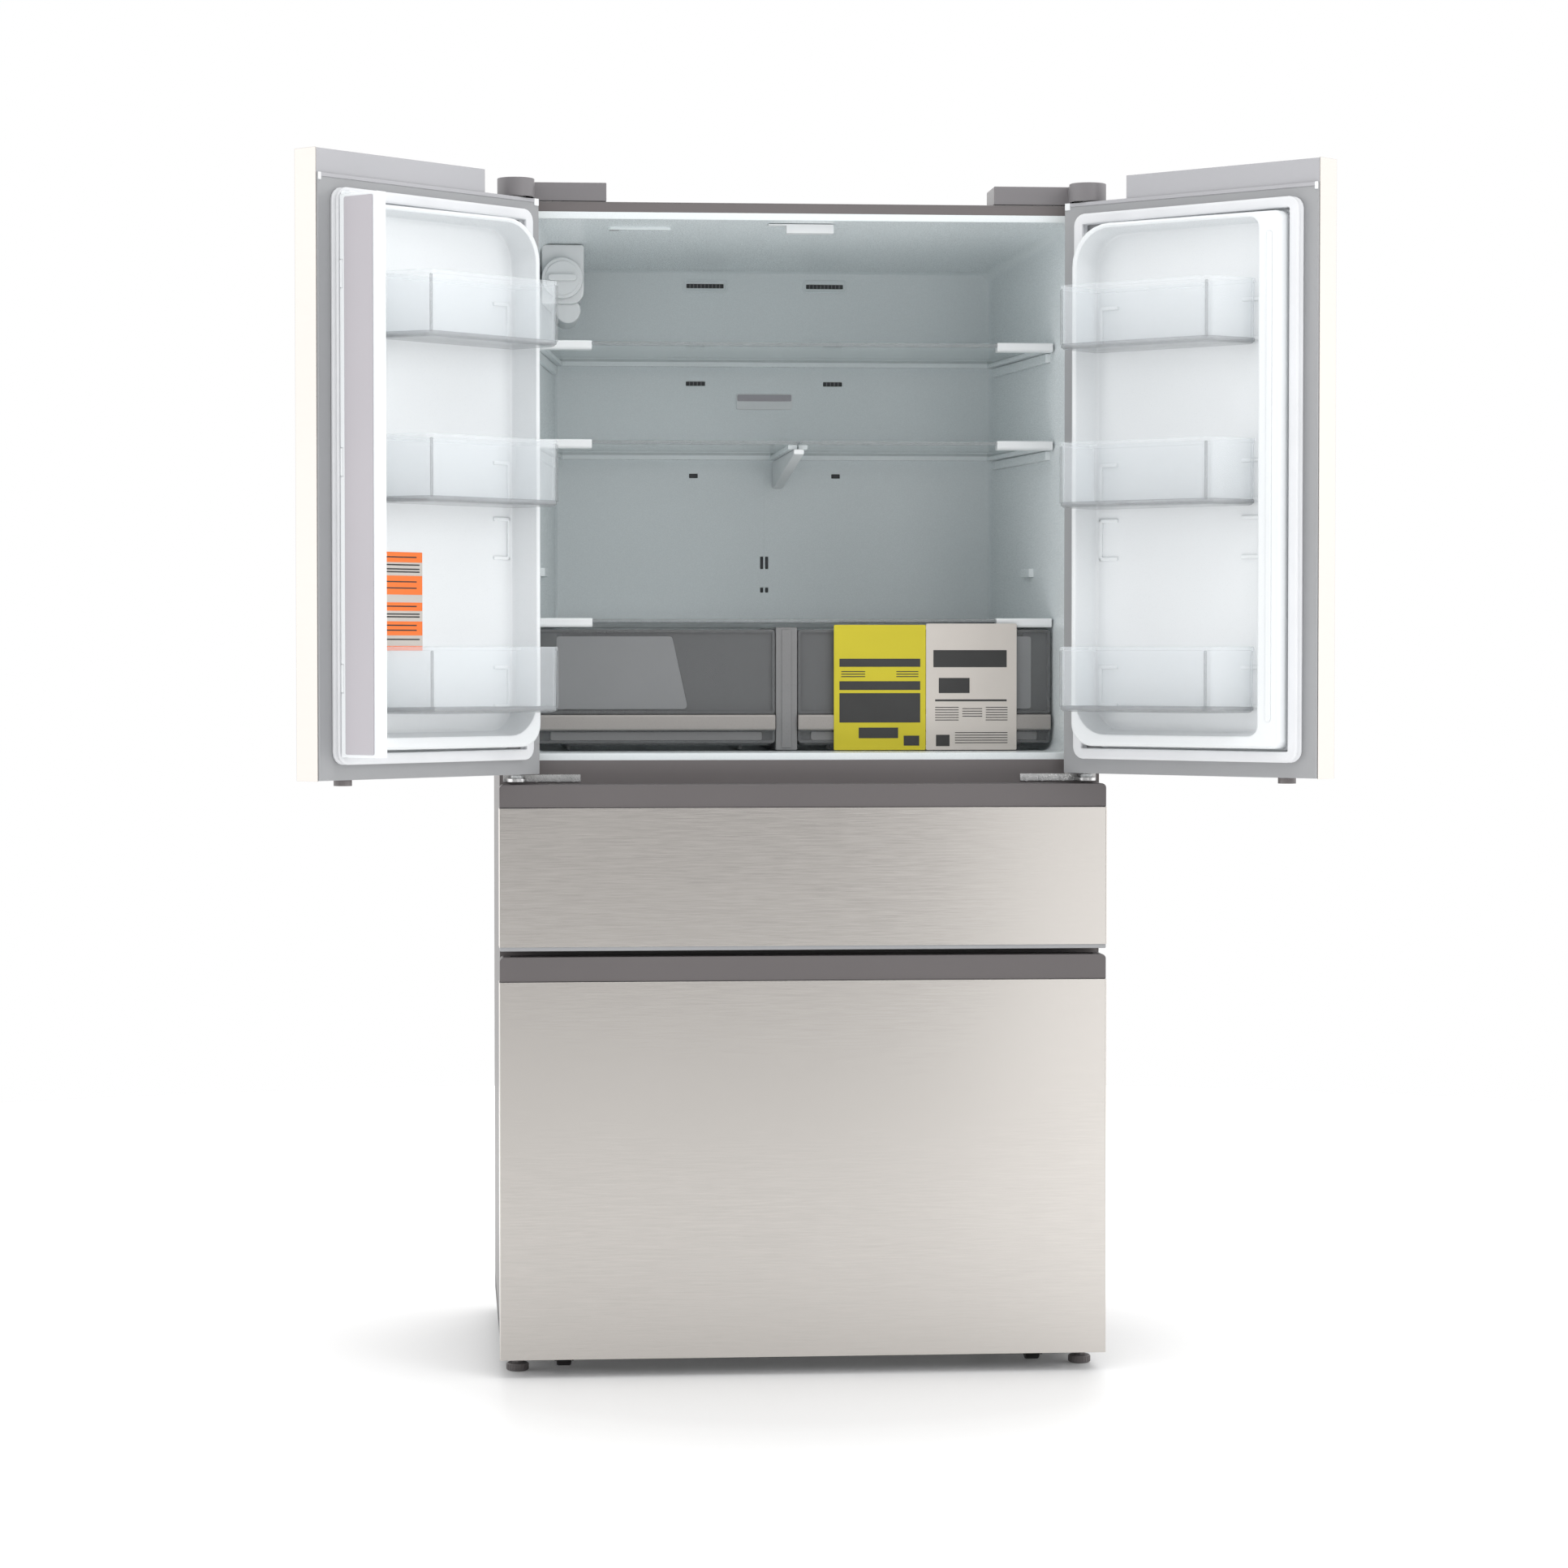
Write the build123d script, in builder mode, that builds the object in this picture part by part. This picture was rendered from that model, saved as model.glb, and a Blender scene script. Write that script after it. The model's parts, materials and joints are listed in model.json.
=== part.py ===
from build123d import *
import os
from math import cos, radians, sin

# French door refrigerator: two doors over two drawers. Millimetres, +Z up, standing on Z = 0.
# Depths are measured back from the face of the drawer fronts. The doors are built standing open.

# ---------------------------------------------------------------- overall sizes
WIDTH = 905.0            # across the door and drawer fronts
HEIGHT = 1778.0          # floor to the top of the doors
DEPTH = 690.0            # face of the drawer fronts to the rear cover
CAP_RISE = 34.5          # the doors stand this far above the steel case
CASE_DEPTH = 64.0        # the flange that the gaskets close on
CASE_INSET = 2.0         # the case is this much narrower than the fronts, each side
BASE_TOP = 60.0          # underside of the insulated case
SHEET = 1.2              # steel sheet
WALL = 2.5               # moulded liner wall
GAP = 0.4                # between pieces that pass each other
SEAT = 0.3               # between pieces of one body that rest close together

# ---------------------------------------------------------------- doors
OPEN_ANGLE = 134.5       # how far each door stands open
PIN_INSET = 27.5         # hinge pin in from the side of the door
PIN_DEPTH = 26.0         # hinge pin behind the face of the door
PIN_R = 5.0
PIN_FIT = 0.05           # radial clearance of a pin in its bore
PIN_REACH = 24.0         # how far a pin stands in the door
DOOR_BOTTOM = 894.0
DOOR_BACK = 47.0         # thickness of a door without its liner
DOOR_CORNER = 8.0
CENTRE_GAP = 4.0         # between the two doors
CAP_START = 84.0         # the raised top cap starts this far from the pin
CAP_BACK = 44.0
GASKET_W = 16.0
GASKET_SIDE = 25.9       # gasket from the outer edge of a door, at the hinge
GASKET_FREE = 24.0       # gasket from the free edge of a door

# ---------------------------------------------------------------- fresh food compartment
SIDE_WALL = 42.5         # case side to opening, also of both drawer compartments
ROOF = 25.5              # case top to the front edge of the ceiling
CAVITY_TAPER = 56.0      # narrower at the back by this much, each side
CAVITY_FLOOR = 925.0
CAVITY_FALL = 29.0       # the ceiling falls by this much to the back
CAVITY_BACK = 580.0
LIP = 10.7               # white edge of the liner round the opening
SHELF_FRONT = 170.0
SHELF_BACK = 545.0
SHELF_TOP_Z = 1545.0
SHELF_MID_Z = 1396.0
COVER_Z = 1126.0         # top of the glass over the crispers
GLASS = 5.0
TRIM_H = 12.0

# ---------------------------------------------------------------- drawers
LOWER_BOTTOM = 28.0
LOWER_TOP = 588.0
LOWER_STRIP_TOP = 625.0
MID_CAP_BOTTOM = 634.0
MID_BOTTOM = 640.0
MID_TOP = 845.0
MID_STRIP_TOP = 880.0
MID_FLOOR = 671.0        # drawer compartments: floor and ceiling
MID_CEILING = 859.0
LOWER_FLOOR = 75.0
LOWER_CEILING = 585.0
MID_BACK = 560.0
LOWER_BACK = 612.0
STEP_DEPTH = 450.0       # the freezer steps up over the machine space
STEP_TOP = 290.0
MACHINE_FRONT = 478.0
MACHINE_TOP = 272.0
SLIDE_W = 6.0
TUB_WALL = 3.0

# ---------------------------------------------------------------- worked out from those
HALF = WIDTH / 2
PIN_X = HALF - PIN_INSET
CASE_HALF = HALF - CASE_INSET
CASE_TOP = HEIGHT - CAP_RISE
CAVITY_HALF = CASE_HALF - SIDE_WALL      # half the width of the opening
CAVITY_TOP = CASE_TOP - ROOF             # the ceiling, at the front
FREE_A = PIN_X - CENTRE_GAP / 2          # free edge of a door, along it from the pin
SIDE_A = -PIN_INSET                      # hinge edge of a door
BACK_B = DOOR_BACK - PIN_DEPTH           # back of a door, across it from the pin
FACE_B = -PIN_DEPTH
GASKET_B = CASE_DEPTH - GAP - PIN_DEPTH
GASKET_A = (SIDE_A + GASKET_SIDE + 3.2, FREE_A - GASKET_FREE)
GASKET_Z = (CAVITY_FLOOR - 8, CAVITY_TOP + 6)

MULLION_REACH = 71.0                     # the flap that closes the gap between the doors, past its pivot
MULLION_HEEL = 2.0                       # how much of it lies behind its pivot
MULLION_FRONT = 3.5                      # pivot to the face that the gaskets close on
MULLION_T = 18.5
MULLION_A = FREE_A - 27.0                # its pivot, along the door and across it
MULLION_B = GASKET_B + 0.9 + MULLION_FRONT

turn = radians(OPEN_ANGLE)
REACH = (MULLION_A + MULLION_FRONT) * sin(turn) - (MULLION_B + MULLION_REACH) * cos(turn) - PIN_DEPTH
FRONT_Y = (REACH - DEPTH) / 2            # puts the origin in the middle of the floor space

CASE = Plane(origin=(0, FRONT_Y, 0), x_dir=(1, 0, 0), z_dir=(0, 0, 1))
DOOR = Plane(origin=(-PIN_X, FRONT_Y + PIN_DEPTH, 0), x_dir=(cos(turn), -sin(turn), 0), z_dir=(0, 0, 1))


def facing(base, depth):
    """A plane seen from the front: local X across, local Y up, its normal towards the front."""
    origin = base.from_local_coords(Vector(0, depth, 0))
    return Plane(origin=origin, x_dir=base.x_dir, z_dir=-base.y_dir)


def block(x, depth, z, mode=Mode.ADD):
    """A block between two widths, two depths and two heights."""
    with Locations(((x[0] + x[1]) / 2, (depth[0] + depth[1]) / 2, (z[0] + z[1]) / 2)):
        Box(x[1] - x[0], depth[1] - depth[0], z[1] - z[0], mode=mode)


def post(x, depth, z, radius, mode=Mode.ADD):
    """An upright cylinder between two heights."""
    with Locations((x, depth, (z[0] + z[1]) / 2)):
        Cylinder(radius, z[1] - z[0], mode=mode)


def rod(x, depth, z, radius, mode=Mode.ADD):
    """A cylinder between two depths."""
    with Locations((x, (depth[0] + depth[1]) / 2, z)):
        Cylinder(radius, depth[1] - depth[0], rotation=(90, 0, 0), mode=mode)


def axle(x, depth, z, radius, mode=Mode.ADD):
    """A cylinder between two widths."""
    with Locations(((x[0] + x[1]) / 2, depth, z)):
        Cylinder(radius, x[1] - x[0], rotation=(0, 90, 0), mode=mode)


def ring(x, depth, z, width, mode=Mode.ADD):
    """A rectangular frame that faces the front."""
    block(x, depth, z, mode=mode)
    block((x[0] + width, x[1] - width), depth, (z[0] + width, z[1] - width), mode=Mode.SUBTRACT)


def tub(x, depth, z, wall):
    """A box open at the top."""
    block(x, depth, z)
    block((x[0] + wall, x[1] - wall), (depth[0] + wall, depth[1] - wall), (z[0] + wall, z[1] + wall), Mode.SUBTRACT)


def taper(depth):
    """How much the side walls of the fresh food compartment have closed in at a depth."""
    return CAVITY_TAPER * (depth - CASE_DEPTH) / (CAVITY_BACK - CASE_DEPTH)


def cavity(clearance, front=CASE_DEPTH):
    """The fresh food space, smaller all round by a clearance, or larger by a negative one."""
    back = CAVITY_BACK - clearance
    with BuildPart() as space:
        for depth in (front, back):
            fall = taper(depth) * CAVITY_FALL / CAVITY_TAPER
            low = CAVITY_FLOOR + clearance
            high = CAVITY_TOP - fall - clearance
            with BuildSketch(facing(Plane.XY, depth)):
                with Locations((0, (low + high) / 2)):
                    Rectangle(2 * (CAVITY_HALF - taper(depth) - clearance), high - low)
        loft()
    return space.part


def save(piece, name):
    piece.part.label = name
    export_step(piece.part, f"parts/{name}.step")


def save_both(piece, name):
    """Writes a piece of the left door and its mirror image for the right door."""
    save(piece, f"left_{name}")
    with BuildPart() as other:
        mirror(piece.part, about=Plane.YZ)
    save(other, f"right_{name}")


os.makedirs("parts", exist_ok=True)

# ================================================================ case
with BuildPart(CASE) as case_shell:
    block((-CASE_HALF, CASE_HALF), (CASE_DEPTH, DEPTH - 2 * SHEET), (BASE_TOP, CASE_TOP))
    block((SHEET - CASE_HALF, CASE_HALF - SHEET), (0, DEPTH), (0, CASE_TOP - SHEET), Mode.SUBTRACT)
save(case_shell, "case_shell")

inner = CASE_HALF - SHEET
panel_top = CASE_TOP - SHEET
with BuildPart(CASE) as rear_panel:
    block((-inner, inner), (DEPTH - 3 * SHEET, DEPTH - 2 * SHEET), (MACHINE_TOP, panel_top))
save(rear_panel, "rear_panel")

flange = (CASE_DEPTH, CASE_DEPTH + SHEET)
with BuildPart(CASE) as front_flange:
    block((-inner, inner), flange, (BASE_TOP, panel_top))
    lip_half = CAVITY_HALF + LIP
    block((-lip_half, lip_half), flange, (CAVITY_FLOOR - LIP, CAVITY_TOP + LIP), Mode.SUBTRACT)
    for low, high in ((MID_FLOOR, MID_CEILING), (LOWER_FLOOR, LOWER_CEILING)):
        block((-CAVITY_HALF, CAVITY_HALF), flange, (low, high), Mode.SUBTRACT)
save(front_flange, "front_flange")

with BuildPart(CASE) as fridge_liner:
    add(cavity(-WALL, front=CASE_DEPTH + SHEET))
    block((-lip_half, lip_half), flange, (CAVITY_FLOOR - LIP, CAVITY_TOP + LIP))
    add(cavity(0), mode=Mode.SUBTRACT)
save(fridge_liner, "fridge_liner")


def stepped_room(grow):
    """The freezer space seen from the side, with its step over the machine space."""
    with BuildPart() as room:
        with BuildSketch(Plane.YZ):
            with BuildLine():
                Polyline(
                    (CASE_DEPTH + SHEET * (grow > 0), LOWER_FLOOR - grow),
                    (STEP_DEPTH + grow, LOWER_FLOOR - grow),
                    (STEP_DEPTH + grow, STEP_TOP - grow),
                    (LOWER_BACK + grow, STEP_TOP - grow),
                    (LOWER_BACK + grow, LOWER_CEILING + grow),
                    (CASE_DEPTH + SHEET * (grow > 0), LOWER_CEILING + grow),
                    close=True,
                )
            make_face()
        extrude(amount=CAVITY_HALF + grow, both=True)
    return room.part


with BuildPart(CASE) as freezer_liner:
    add(stepped_room(WALL))
    add(stepped_room(0), mode=Mode.SUBTRACT)
save(freezer_liner, "freezer_liner")


def mid_room(grow, mode=Mode.ADD):
    """The space of the middle drawer."""
    half = CAVITY_HALF + grow
    front = CASE_DEPTH + SHEET * (grow > 0)
    block((-half, half), (front, MID_BACK + grow), (MID_FLOOR - grow, MID_CEILING + grow), mode)


with BuildPart(CASE) as mid_liner:
    mid_room(WALL)
    mid_room(0, Mode.SUBTRACT)
save(mid_liner, "mid_liner")

with BuildPart(CASE) as case_foam:
    block((-inner, inner), (CASE_DEPTH + SHEET, DEPTH - 3 * SHEET), (BASE_TOP, panel_top))
    add(cavity(-WALL, front=CASE_DEPTH + SHEET), mode=Mode.SUBTRACT)
    add(stepped_room(WALL), mode=Mode.SUBTRACT)
    mid_room(WALL, Mode.SUBTRACT)
    block((-inner, inner), (MACHINE_FRONT, DEPTH), (0, MACHINE_TOP), Mode.SUBTRACT)
save(case_foam, "case_foam")

# ================================================================ base, feet and rollers
FOOT_X, FOOT_DEPTH = CASE_HALF - 25.5, 82.0
FOOT_R, FOOT_H, STEM_R = 17.0, 12.0, 5.0
RAIL_LOW = 34.0
ROLLER_X = CASE_HALF - 95.5
FRONT_ROLLER = (104.0, 17.0, 2.0)        # depth, radius, height of the wheel off the floor
REAR_ROLLER = (630.0, 20.0, 0.0)
ROLLER_W, AXLE_R, CHEEK = 22.0, 4.0, 3.0
rails_in = CASE_HALF - 52.0
with BuildPart(CASE) as base_frame:
    for side in (-1, 1):
        x = sorted((side * rails_in, side * CASE_HALF))
        block(x, (CASE_DEPTH + SHEET, DEPTH - 4), (RAIL_LOW, BASE_TOP))
        x = sorted((side * (rails_in + 3), side * (CASE_HALF - 3)))
        block(x, (CASE_DEPTH + 40, DEPTH - 7), (RAIL_LOW - 1, BASE_TOP - 3), Mode.SUBTRACT)
        for depth, radius, rise in (FRONT_ROLLER, REAR_ROLLER):
            for edge in (-1, 1):
                x = side * ROLLER_X + edge * (ROLLER_W / 2 + GAP + CHEEK / 2)
                block((x - CHEEK / 2, x + CHEEK / 2), (depth - 14, depth + 14), (radius + rise - 8, BASE_TOP))
            ends = ROLLER_W / 2 + GAP + CHEEK
            axle((side * ROLLER_X - ends, side * ROLLER_X + ends), depth, radius + rise, AXLE_R)
    block((-CASE_HALF, CASE_HALF), (CASE_DEPTH + SHEET, CASE_DEPTH + 24), (RAIL_LOW, BASE_TOP))
    block((-CASE_HALF, CASE_HALF), (CASE_DEPTH + SHEET, DEPTH - 4), (BASE_TOP - 3, BASE_TOP))
    for side in (-1, 1):
        post(side * FOOT_X, FOOT_DEPTH, (RAIL_LOW, BASE_TOP - 3), STEM_R + PIN_FIT, Mode.SUBTRACT)
save(base_frame, "base_frame")

for side, name in ((-1, "left"), (1, "right")):
    with BuildPart(CASE) as levelling_foot:
        post(side * FOOT_X, FOOT_DEPTH, (0, FOOT_H), FOOT_R)
        chamfer(levelling_foot.edges().filter_by(GeomType.CIRCLE).sort_by(Axis.Z)[:1], 2)
        post(side * FOOT_X, FOOT_DEPTH, (FOOT_H, BASE_TOP - 6), STEM_R)
    save(levelling_foot, f"levelling_foot_{name}")

for (depth, radius, rise), name in ((FRONT_ROLLER, "front_rollers"), (REAR_ROLLER, "rear_rollers")):
    with BuildPart(CASE) as rollers:
        for side in (-1, 1):
            ends = (side * ROLLER_X - ROLLER_W / 2, side * ROLLER_X + ROLLER_W / 2)
            axle(ends, depth, radius + rise, radius)
        chamfer(rollers.edges().filter_by(GeomType.CIRCLE), 1.5)
        for side in (-1, 1):
            ends = (side * ROLLER_X - ROLLER_W, side * ROLLER_X + ROLLER_W)
            axle(ends, depth, radius + rise, AXLE_R + PIN_FIT, Mode.SUBTRACT)
    save(rollers, name)

# ================================================================ machine space
COMPRESSOR_X, MACHINE_MID = -255.0, 585.0
with BuildPart(CASE) as compressor:
    post(COMPRESSOR_X, MACHINE_MID, (BASE_TOP + 22, BASE_TOP + 170), 72)
    fillet(compressor.edges().filter_by(GeomType.CIRCLE), 30)
    block((COMPRESSOR_X - 90, COMPRESSOR_X + 90), (MACHINE_MID - 55, MACHINE_MID + 55), (BASE_TOP + 16, BASE_TOP + 20))
    for x in (-75, 75):
        for depth in (-42, 42):
            post(COMPRESSOR_X + x, MACHINE_MID + depth, (BASE_TOP, BASE_TOP + 16), 11)
    block((COMPRESSOR_X - 20, COMPRESSOR_X + 20), (MACHINE_MID - 20, MACHINE_MID + 20), (BASE_TOP + 18, BASE_TOP + 40))
save(compressor, "compressor")

FAN_X, FAN_Z, FAN_R = -90.0, 150.0, 62.0
FAN_W, SHAFT_R = 18.0, 3.0
CONDENSER = ((20.0, 300.0), (520.0, 650.0), (BASE_TOP, BASE_TOP + 150.0))
with BuildPart(CASE) as condenser:
    (x0, x1), room, (z0, z1) = CONDENSER
    block((x0, x1), room, (z0, z0 + 12))
    fins = 8
    for i in range(fins):
        x = x0 + 6 + (x1 - x0 - 15) * i / (fins - 1)
        block((x, x + 3), (room[0] + 8, room[1] - 8), (z0 + 12, z1))
    for row in (0.25, 0.5, 0.75):
        for column in (0.3, 0.7):
            axle((x0, x1), room[0] + (room[1] - room[0]) * column, z0 + (z1 - z0) * row + 6, 5)
    # the fan's motor, on a bracket that reaches out from the tray under the fins
    motor = FAN_X + FAN_W / 2 + 3
    axle((motor, motor + 34), MACHINE_MID, FAN_Z, 19)
    axle((FAN_X - FAN_W / 2, motor), MACHINE_MID, FAN_Z, SHAFT_R)
    block((motor + 14, motor + 20), (MACHINE_MID - 30, MACHINE_MID + 30), (z0, FAN_Z))
    block((motor + 14, x0), (MACHINE_MID - 30, MACHINE_MID + 30), (z0, z0 + 6))
save(condenser, "condenser")


def fan(x, depth, z, radius, rotation):
    """A fan with five pitched blades round a hub, its shaft along local Z before it is turned."""
    place = CASE.location * Location((x, depth, z), rotation)
    with BuildPart() as wheel:
        Cylinder(radius * 0.28, FAN_W)
        for spoke in range(5):
            with Locations(Rotation(0, 0, spoke * 72) * Pos(radius * 0.6, 0, 0) * Rotation(28, 0, 0)):
                Box(radius * 0.8, radius * 0.55, 2)
        Cylinder(SHAFT_R + PIN_FIT, FAN_W, mode=Mode.SUBTRACT)
    return place * wheel.part


with BuildPart() as condenser_fan:
    add(fan(FAN_X, MACHINE_MID, FAN_Z, FAN_R, (0, 90, 0)))
save(condenser_fan, "condenser_fan")

GLAND_X, GLAND_Z, CORD_R, GLAND_L = 380.0, 170.0, 4.5, 12.0
INLET_X, INLET_Z, INLET_R, INLET_L = -395.0, 180.0, 6.0, 20.0
cover = (DEPTH - SHEET, DEPTH)
with BuildPart(CASE) as machine_cover:
    block((-inner, inner), cover, (BASE_TOP, MACHINE_TOP + 6))
    for column in range(12):
        for row in range(2):
            x = -300 + column * 50
            z = BASE_TOP + 50 + row * 75
            block((x, x + 24), cover, (z, z + 50), Mode.SUBTRACT)
    rod(GLAND_X, (DEPTH - GLAND_L, DEPTH), GLAND_Z, CORD_R + 7)
    rod(GLAND_X, (DEPTH - 2 * GLAND_L, DEPTH + GLAND_L), GLAND_Z, CORD_R, Mode.SUBTRACT)
    rod(INLET_X, cover, INLET_Z, INLET_R + 3, Mode.SUBTRACT)
save(machine_cover, "machine_cover")

with BuildPart(CASE) as water_valve:
    block((INLET_X - 22, INLET_X + 22), (DEPTH - 60, DEPTH - 12), (INLET_Z - 25, INLET_Z + 20))
    rod(INLET_X, (DEPTH - 12, DEPTH - 12 + INLET_L), INLET_Z, INLET_R)
    post(INLET_X, DEPTH - 36, (INLET_Z + 20, INLET_Z + 50), 14)
    block((INLET_X - 12, INLET_X + 12), (DEPTH - 50, DEPTH - 40), (BASE_TOP, INLET_Z))
save(water_valve, "water_valve")

# ================================================================ evaporator
EVAP_COVER = 560.0
FREEZER_FAN_Z, FREEZER_FAN_R, FREEZER_FAN_GAP = LOWER_CEILING - 45.0, 34.0, 24.0
with BuildPart(CASE) as evaporator_cover:
    block((10 - CAVITY_HALF, CAVITY_HALF - 10), (EVAP_COVER, EVAP_COVER + 3), (STEP_TOP + 2, LOWER_CEILING - 2))
    for column in range(6):
        x = -62.5 + column * 25
        block((x - 8, x + 8), (EVAP_COVER, EVAP_COVER + 3), (LOWER_CEILING - 60, LOWER_CEILING - 20), Mode.SUBTRACT)
        block((x * 5 - 40, x * 5 + 40), (EVAP_COVER, EVAP_COVER + 3), (STEP_TOP + 14, STEP_TOP + 22), Mode.SUBTRACT)
    # the freezer fan's motor and shaft, on the web between the two middle slots
    rod(0, (EVAP_COVER + 2, EVAP_COVER + 13), FREEZER_FAN_Z, 12)
    rod(0, (EVAP_COVER + 13, EVAP_COVER + FREEZER_FAN_GAP + FAN_W / 2), FREEZER_FAN_Z, SHAFT_R)
save(evaporator_cover, "evaporator_cover")

with BuildPart(CASE) as evaporator:
    for row in range(8):
        z = STEP_TOP + 30 + row * 24
        axle((-205, 205), LOWER_BACK - 13, z, 5)
    for column in range(9):
        x = -200 + column * 50
        block((x - 1.5, x + 1.5), (LOWER_BACK - 24, LOWER_BACK - 1), (STEP_TOP + 18, STEP_TOP + 210))
save(evaporator, "evaporator")

with BuildPart() as evaporator_fan:
    add(fan(0, EVAP_COVER + FREEZER_FAN_GAP, FREEZER_FAN_Z, FREEZER_FAN_R, (90, 0, 0)))
save(evaporator_fan, "evaporator_fan")

# ================================================================ fresh food fittings
AIR_PANEL = (CAVITY_BACK - 9, CAVITY_BACK - 1)
with BuildPart(CASE) as air_panel:
    half = CAVITY_HALF - CAVITY_TAPER
    block((-half, half), AIR_PANEL, (CAVITY_FLOOR, CAVITY_TOP))
    add(cavity(1), mode=Mode.INTERSECT)
    for x, z, w, h in (
        (-111, 1665.5, 60, 7),
        (82.5, 1665.5, 60, 7),
        (-126.5, 1508.5, 31, 7),
        (95.5, 1508.5, 31, 7),
        (-130, 1360, 14, 7),
        (100.5, 1360, 14, 7),
        (-19.5, 1220, 5, 20),
        (-11.5, 1220, 5, 20),
        (-19.5, 1176, 5, 8),
        (-11.5, 1176, 5, 8),
    ):
        block((x - w / 2, x + w / 2), AIR_PANEL, (z - h / 2, z + h / 2), Mode.SUBTRACT)
save(air_panel, "air_panel")

shelf_span = (SHELF_FRONT, SHELF_BACK)
trim = (SHELF_FRONT - 8, SHELF_FRONT + 10)
SPLIT = 6.0              # the two half shelves meet here, over their bracket


def shelf(x, top):
    """A glass pane in a frame: a front trim with white ends, a back rail and two side rails."""
    low = top - TRIM_H
    block(x, shelf_span, (top - GLASS, top))
    block(x, trim, (low, top))
    block(x, (SHELF_BACK - 12, SHELF_BACK), (low, top))
    for edge in (0, 1):
        side = sorted((x[edge], x[edge] + (60, -60)[edge]))
        block(side, shelf_span, (low, top - GLASS))


for name, x, top in (
    ("shelf_top", (-CAVITY_HALF, CAVITY_HALF), SHELF_TOP_Z),
    ("shelf_left", (-CAVITY_HALF, SPLIT - 1), SHELF_MID_Z),
    ("shelf_right", (SPLIT + 1, CAVITY_HALF), SHELF_MID_Z),
):
    with BuildPart(CASE) as tray:
        shelf(x, top)
        add(cavity(1), mode=Mode.INTERSECT)
    save(tray, name)

BRACKET_T = 16.0
with BuildPart(CASE) as shelf_bracket:
    with BuildSketch(Plane(origin=(SPLIT - BRACKET_T / 2, FRONT_Y, 0), x_dir=(0, 1, 0), z_dir=(1, 0, 0))):
        with BuildLine():
            seat = SHELF_MID_Z - TRIM_H - SEAT
            Polyline(
                (SHELF_FRONT, seat),
                (AIR_PANEL[0] - SEAT, seat),
                (AIR_PANEL[0] - SEAT, seat - 44),
                (AIR_PANEL[0] - 60, seat - 40),
                (SHELF_FRONT, seat - 8),
                close=True,
            )
        make_face()
    extrude(amount=BRACKET_T)
save(shelf_bracket, "shelf_bracket")

DIVIDER = (-30.0, 4.0)   # the wall between the crispers
with BuildPart(CASE) as crisper_cover:
    block((-CAVITY_HALF, CAVITY_HALF), (SHELF_FRONT - 4, SHELF_BACK), (COVER_Z - TRIM_H, COVER_Z))
    block(DIVIDER, (SHELF_FRONT, SHELF_BACK), (CAVITY_FLOOR + 1, COVER_Z - TRIM_H))
    add(cavity(1), mode=Mode.INTERSECT)
save(crisper_cover, "crisper_cover")

CRISPER_HALF = CAVITY_HALF - taper(SHELF_BACK - 20) - 4
FASCIA_HALF = CAVITY_HALF - taper(SHELF_FRONT + 8) - 4
CRISPER_Z = (CAVITY_FLOOR + 8, COVER_Z - TRIM_H - 4)
for side, inside, name in ((-1, DIVIDER[0] - GAP, "crisper_left"), (1, DIVIDER[1] + GAP, "crisper_right")):
    with BuildPart(CASE) as crisper:
        x = sorted((side * CRISPER_HALF, inside))
        face = sorted((side * FASCIA_HALF, inside))
        tub(x, (SHELF_FRONT + 8, SHELF_BACK - 20), CRISPER_Z, TUB_WALL)
        block(face, (SHELF_FRONT, SHELF_FRONT + 8), (CRISPER_Z[0] + 4, CRISPER_Z[1]))
        block(face, (SHELF_FRONT - 8, SHELF_FRONT), (CRISPER_Z[0] + 24, CRISPER_Z[0] + 42))
        for edge in (x[0] + 8, x[1] - 14):
            block((edge, edge + 6), (SHELF_FRONT + 8, SHELF_BACK - 20), (CRISPER_Z[0] - 6, CRISPER_Z[0]))
    save(crisper, name)

FILTER = (300.0, 540.0)
CAP_R, CARTRIDGE_R = 32.0, 20.0
FILTER_X = CAP_R + 1.4 + taper(FILTER[0]) - CAVITY_HALF
FILTER_Z = CAVITY_TOP - 67
with BuildPart(CASE) as filter_housing:
    block((-CAVITY_HALF, FILTER_X + 34), FILTER, (FILTER_Z - 39.5, CAVITY_TOP))
    rod(FILTER_X + 9, (FILTER[0] + 8, FILTER[0] + 120), FILTER_Z - 49, 20)
    add(cavity(1), mode=Mode.INTERSECT)
    rod(FILTER_X, (FILTER[0], FILTER[0] + 95), FILTER_Z, CARTRIDGE_R + GAP, Mode.SUBTRACT)
save(filter_housing, "filter_housing")

with BuildPart(CASE) as filter_cap:
    rod(FILTER_X, (FILTER[0] - 12, FILTER[0] - GAP), FILTER_Z, CAP_R)
    rod(FILTER_X, (FILTER[0] - GAP, FILTER[0] + 90), FILTER_Z, CARTRIDGE_R)
    block((FILTER_X - 22, FILTER_X + 22), (FILTER[0] - 22, FILTER[0] - 12), (FILTER_Z - 5, FILTER_Z + 5))
save(filter_cap, "filter_cap")

# The guide under the ceiling is open on the left, where the flap's tip comes in.
MULLION_Z = (CAVITY_FLOOR + 3, CAVITY_TOP - 6)
with BuildPart(CASE) as mullion_guide:
    block((-47, 51), (88, 106), (CAVITY_TOP - 16, CAVITY_TOP))
    block((-48, -20), (86, 108), (CAVITY_TOP - 17, CAVITY_TOP - 4.5), Mode.SUBTRACT)
    add(cavity(1), mode=Mode.INTERSECT)
save(mullion_guide, "mullion_guide")

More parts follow.
